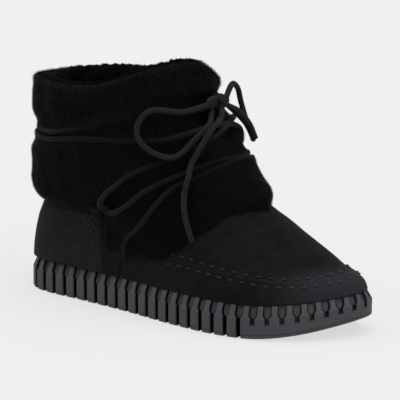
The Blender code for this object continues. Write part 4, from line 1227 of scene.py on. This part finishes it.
def surfaceFrames(grid):
    alongRow = np.roll(grid, -1, axis=1) - np.roll(grid, 1, axis=1)
    upRow = np.gradient(grid, axis=0)
    return unit(np.cross(alongRow, upRow)), unit(-upRow)


def seedStrands(grid, fields, count, draw):
    # strand roots spread evenly over the surface, with the fields read at each of them
    corners = grid[:-1], grid[1:], np.roll(grid, -1, axis=1)[:-1]
    area = np.linalg.norm(np.cross(corners[1] - corners[0], corners[2] - corners[0]), axis=2)
    cells = draw.choice(area.size, size=count, p=(area / area.sum()).ravel())
    row, column = np.unravel_index(cells, area.shape)
    rowPart, columnPart = draw.random(count)[:, None], draw.random(count)[:, None]
    after = (column + 1) % grid.shape[1]
    found = []
    for field in (grid, *fields):
        low = field[row, column] * (1 - columnPart) + field[row, after] * columnPart
        high = field[row + 1, column] * (1 - columnPart) + field[row + 1, after] * columnPart
        found.append(low * (1 - rowPart) + high * rowPart)
    return row + rowPart[:, 0], found


def keepOffLace(points, out):
    for index, point in enumerate(points):
        _, found, far = guardTree.find(Vector(point))
        keep = guardRadii[found]
        if far < keep:
            away = unit(point - guardSpots[found] + out[index] * pile["pushOut"])
            points[index] = guardSpots[found] + away * keep


def strandShade(root, rowPlace, rows, look, seed, draw):
    mean, cloud, random = look["shade"]
    fromRim, fade = pile["rimRows"]
    # painted highlight: strands in the last rows under the crest are lightened, as if the rim caught the
    # light
    rim = smooth((rowPlace - (rows - fromRim)) / fade) * look["paintedRimLight"]
    clouds = waves(root, look["clumpSize"] * 2.2, seed + 9)
    shade = np.clip(mean + cloud * clouds + draw.normal(size=len(root)) * random + rim, 0, 1)
    # painted shade: the pile is darkened low on the front of the shaft, over the instep
    (fromX, deepX), (height, deep) = pile["instepX"], pile["instepHeight"]
    instep = smooth((root[:, 0] - fromX) / deepX) * smooth((height - root[:, 2]) / deep)
    return shade * (1 - look["instepPaintedShade"] * instep)


def growStrands(name, grid, normal, down, look, material, seed, leanRows):
    draw = np.random.default_rng(seed)
    count = look["strands"]
    rowPlace, (root, out, fall) = seedStrands(grid, (normal, down), count, draw)
    out, fall = unit(out), unit(fall)
    lean = np.interp(rowPlace, *leanRows)[:, None]
    sway = np.stack([waves(root, look["clumpSize"], seed + axis) for axis in (1, 2, 3)], axis=1)
    fine = draw.normal(size=(count, 3)) * look["scatter"]
    length = draw.uniform(*look["length"], count)[:, None]
    start = unit(out * np.cos(lean) + fall * np.sin(lean) + look["clump"] * sway + fine)
    bend = np.minimum(lean + look["bend"], pile["mostBend"])
    tipSway = look["clump"] * pile["tipSway"] * sway
    onwards = unit(out * np.cos(bend) + fall * np.sin(bend) + tipSway + fine)
    middle = root + start * length * 0.5
    tip = middle + onwards * length * 0.5
    keepOffLace(middle, out)
    keepOffLace(tip, out)
    side = unit(np.cross(start, out + fine * 0.8)) * look["width"] / 2
    thin = side * pile["taper"]
    points = np.stack([root - side, root + side, middle + thin, middle - thin, tip], axis=1)
    order = np.arange(count)[:, None] * 5
    faces = (order + np.array([0, 1, 2, 3])).tolist() + (order + np.array([3, 2, 4])).tolist()
    shade = strandShade(root, rowPlace, len(grid), look, seed, draw)
    # painted shade: each strand is darker at its root and middle than at its tip
    low, high = shade * pile["rootPaintedShade"], shade * pile["middlePaintedShade"]
    addTint(addMesh(name, points.reshape(-1, 3), faces, material),
            np.stack([low, low, high, high, shade], axis=1))
    print("strands grown:", name)


def growPile():
    normal, down = surfaceFrames(plushSurface)
    last = len(plushSurface) - 1
    leans = [pile["lean"], pile["lean"], *pile["crestLean"]]
    bounds = [*pile["bands"], last]
    for index, name in enumerate(("pileLower", "pileMiddle", "pileCollar")):
        low, high = bounds[index], bounds[index + 1]
        band = slice(low, high + 1)
        # only the collar band gets the painted highlight
        look = dict(pile, paintedRimLight=pile["paintedRimLight"] if high == last else 0.0)
        leanRows = np.array([0, last - 3.5, last - 1.5, last]) - low, leans
        growStrands(name, plushSurface[band], normal[band], down[band], look, plushPile,
                    pile["seeds"][index], leanRows)


growPile()

# Lining: curly fleece inside the collar and over the inner half of its rim, and on the insole
fleece = {
    "columns": 420, "rows": 76, "depth": 2.75, "fromLevel": 1.6, "bead": 1.6, "beadSize": 5.0,
    "beadSeed": 61, "lastBeads": (0.6, 0.1),
    "rim": [          # out from the wall, rise over the collar
        (-2.3, 1.0), (-1.8, 1.8), (-1.0, 2.5), (0.0, 2.9), (1.0, 3.0), (2.0, 2.7), (2.8, 2.0)],
    "proud": 2.2, "proudReach": 2.8, "proudAngles": (196.0, 352.0), "proudFade": 22.0,
    "strands": 22000, "seed": 71, "length": (0.9, 1.8), "width": 0.3, "lean": 0.5, "clump": 0.7,
    "clumpSize": 2.6, "scatter": 0.4, "bend": 0.6, "shade": (0.4, 0.2, 0.15), "paintedRimLight": 0.0,
    "instepPaintedShade": 0.0,
    "insoleRows": 56, "insoleColumns": 144, "insoleInset": 1.6, "insoleBead": 0.5, "insoleSeed": 67,
    "insoleDepth": 4.2, "spineReach": (-90.0, 80.0), "spineShare": 0.9,
}


def beads(points, size, seed):
    first, second = waves(points, size, seed, 9), waves(points, size * 0.8, seed + 1, 9)
    return 1.0 - np.abs(first) * 0.75 + 0.35 * np.abs(second)


def liningRim(angles):
    outwards = unit(outward(angles, topLevel) * (1, 1, 0))
    place = skin(angles, topLevel)
    first, last = fleece["proudAngles"]
    inside = (smooth((angles - first) / fleece["proudFade"])
              * smooth((last - angles) / fleece["proudFade"]))
    rim = []
    for out, rise in fleece["rim"]:
        proud = fleece["proud"] * inside * max(1 - abs(out) / fleece["proudReach"], 0)
        rim.append(place + outwards * out + np.outer(rise + proud, (0, 0, 1)))
    return rim


def makeLining():
    angles = 360.0 * np.arange(fleece["columns"]) / fleece["columns"]
    inwards = np.full(len(angles), -fleece["depth"])
    wall = [offsetSkin(angles, level, inwards, level == topLevel)
            for level in np.linspace(fleece["fromLevel"], topLevel, fleece["rows"])]
    grid = np.stack(wall + liningRim(angles))
    normal, down = surfaceFrames(grid)
    fade = np.ones(len(grid))
    fade[-2:] = fleece["lastBeads"]
    puff = fleece["bead"] * beads(grid, fleece["beadSize"], fleece["beadSeed"]) * fade[:, None]
    surface = grid - normal * puff[..., None]
    addMesh("fleeceLining", surface.reshape(-1, 3), gridFaces(len(surface), fleece["columns"], flip=True),
            fleeceCloth)
    leanRows = [0, len(surface)], [fleece["lean"]] * 2
    growStrands("fleeceCurls", surface, -normal, down, fleece, liningPile, fleece["seed"], leanRows)


def makeInsole():
    tree = treeOf("insole")
    low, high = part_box("insole")
    turns = np.linspace(0, 360, fleece["insoleColumns"], endpoint=False)
    inwards = np.full(len(turns), -boot["wall"] - fleece["insoleInset"])
    outline = offsetSkin(turns, 0, inwards, True)[:, :2]
    middle = (low.x + high.x) * 500 + boot["heelRest"]
    back, front = fleece["spineReach"]
    spineX = np.clip(outline[:, 0], middle + back, middle + front) * fleece["spineShare"]
    spine = np.column_stack([spineX + middle * (1 - fleece["spineShare"]), np.zeros(len(turns))])
    rings = []
    for share in np.sqrt(np.linspace(0.0, 1.0, fleece["insoleRows"]))[::-1]:
        plan = spine + (outline - spine) * share
        ring = np.column_stack([plan, np.zeros(len(turns))])
        for index, place in enumerate(toWorld(ring)):
            hit = tree.ray_cast(Vector((place[0], place[1], high.z + 0.02)), Vector((0, 0, -1)))[0]
            ring[index, 2] = (hit.z if hit is not None else high.z - 0.001) * 1000
        rings.append(ring)
    grid = np.stack(rings)
    grid[..., 2] += fleece["insoleBead"] * beads(grid, fleece["beadSize"], fleece["insoleSeed"])
    surface = np.concatenate([(grid[0] - (0, 0, fleece["insoleDepth"]))[None], grid])
    addMesh("fleeceInsole", surface.reshape(-1, 3), gridFaces(len(surface), len(turns)), fleeceCloth,
            ["insole"])


makeLining()
makeInsole()
print("fleece lining and insole laid")


# Stitches: the hand-sewn rows of the moccasin seam, and on the heel counter two fine rows along
# each front edge with crossed tacks at its top
stitches = {
    "rings": 7, "sides": 6, "ends": (0.08, 0.84), "arch": 0.28, "length": 4.2, "thick": 1.9,
    # the stitch tone runs from the first shade to the second towards the toe, and that rise is painted light
    "sunk": 0.6, "from": 97.0, "phase": 0.5, "reach": 0.6, "shade": (0.14, 0.58), "wear": 0.12,
    "wearSize": 9.0, "wearSeed": 83, "shadeFrom": 222.0, "shadeFade": 30.0, "edgeLift": 0.1,
    "fineLength": 1.9, "fineThick": 0.55, "finePitch": 2.7, "fineShade": 0.16, "edgeRows": (2.6, 5.6),
    "edgeFrom": 29.0, "edgeFoot": 26.0, "edgeBelow": 2.0,
    "tack": (69.3, 57.5), "tackCount": (4, 2), "tackSteps": (2.9, 3.1), "tackSlant": 0.6,
    "tackTurns": (0.8, -0.8), "tackLength": 3.4, "tackThick": 1.1, "tackShade": 0.3,
}


def stitchShape(length, thick):
    rings, sides = stitches["rings"], stitches["sides"]
    tip, body = stitches["ends"]
    points = []
    for ring in range(rings):
        share = ring / (rings - 1)
        bulge = sin(pi * (tip + body * share)) ** 0.5
        arch = sin(pi * share) * thick * stitches["arch"]
        for corner in range(sides):
            turn = 2 * pi * corner / sides
            points.append(((share - 0.5) * length, cos(turn) * thick / 2 * bulge,
                           sin(turn) * thick / 2 * bulge + arch))
    faces = gridFaces(rings, sides)
    faces.append(list(reversed(range(sides))))
    faces.append(list(range((rings - 1) * sides, rings * sides)))
    return np.array(points), faces


def sewRow(name, spots, length, thick, shade):
    shape, shapeFaces = stitchShape(length, thick)
    points, faces = [], []
    for place, direction, normal in spots:
        across = np.cross(normal, direction)
        start = len(points) * len(shape)
        points.append(place + shape @ np.array([direction, across, normal]))
        faces += [[corner + start for corner in face] for face in shapeFaces]
    points = np.concatenate(points)
    addTint(addMesh(name, points, faces, thread), np.broadcast_to(shade(points), len(points)))


def reliefPoint(angle, shift):
    level = mocLevel(np.array(angle)) + shift
    return offsetSkin(angle, level, footRelief(np.array(angle), level, skin(angle, level)))


def mocRow(shift):
    spots = []
    reach = stitches["reach"]
    for beat in range(int(seamLengths[-1] / foot["pitch"])):
        run = (beat + stitches["phase"]) * foot["pitch"]
        angle = float(np.interp(run, seamLengths, seamAngles))
        if fromHeel(angle) < stitches["from"]:
            continue
        direction = unit(reliefPoint(angle + reach, shift) - reliefPoint(angle - reach, shift))
        normal = outward(angle, mocLevel(angle) + shift)
        normal = unit(normal - direction * np.dot(normal, direction))
        lift = stitches["thick"] * 0.25 - stitches["sunk"]
        spots.append((reliefPoint(angle, shift) + normal * lift, direction, normal))
    return spots


def mocShade(points):
    low, high = stitches["shade"]
    wear = 0.5 + 0.5 * waves(points, stitches["wearSize"], stitches["wearSeed"])
    # painted light: the stitches get lighter towards the toe, where light catches them; the wear term is tone
    # that differs at random
    toe = smooth((points[:, 0] - stitches["shadeFrom"]) / stitches["shadeFade"])
    return np.clip(low + (high - low) * toe + stitches["wear"] * wear, 0, 1)


def counterSpot(x, height, side, turn=0.0):
    angle = side * angleOver(x, height)
    level = float(levelAt(angle, height))
    lift = counter["lift"] + counter["thickness"] + stitches["edgeLift"]
    here, above = offsetSkin(angle, level, lift), offsetSkin(angle, level + 0.05, lift)
    normal = outward(angle, level)
    upwards = unit(above - here)
    upwards = unit(upwards - normal * np.dot(upwards, normal))
    return here, unit(upwards * cos(turn) + np.cross(normal, upwards) * sin(turn)), normal


def sewCounter(name, side):
    edge = []
    base = stitches["edgeFoot"]
    for inset in stitches["edgeRows"]:
        for height in np.arange(stitches["edgeFrom"], counter["top"] - stitches["edgeBelow"],
                                stitches["finePitch"]):
            front = float(counterFront((height - base) / (counter["top"] - base)))
            edge.append(counterSpot(front - inset, height, side))
    sewRow(name + "Edge", edge, stitches["fineLength"], stitches["fineThick"],
           lambda points: stitches["fineShade"])

    tacks = []
    x, z = stitches["tack"]
    across, down = stitches["tackSteps"]
    steps, lanes = stitches["tackCount"]
    for step in np.arange(steps) - (steps - 1) / 2:
        for lane in np.arange(lanes) - (lanes - 1) / 2:
            place = x + step * across + lane * down, z - step * down + lane * across * stitches["tackSlant"]
            tacks += [counterSpot(*place, side, turn) for turn in stitches["tackTurns"]]
    sewRow(name + "Tack", tacks, stitches["tackLength"], stitches["tackThick"],
           lambda points: stitches["tackShade"])


for rowName, rowShift in zip(("mocStitchLower", "mocStitchUpper"), foot["rows"]):
    sewRow(rowName, mocRow(rowShift), stitches["length"], stitches["thick"], mocShade)
sewCounter("counterLateral", 1)
sewCounter("counterMedial", -1)
print("seams sewn")
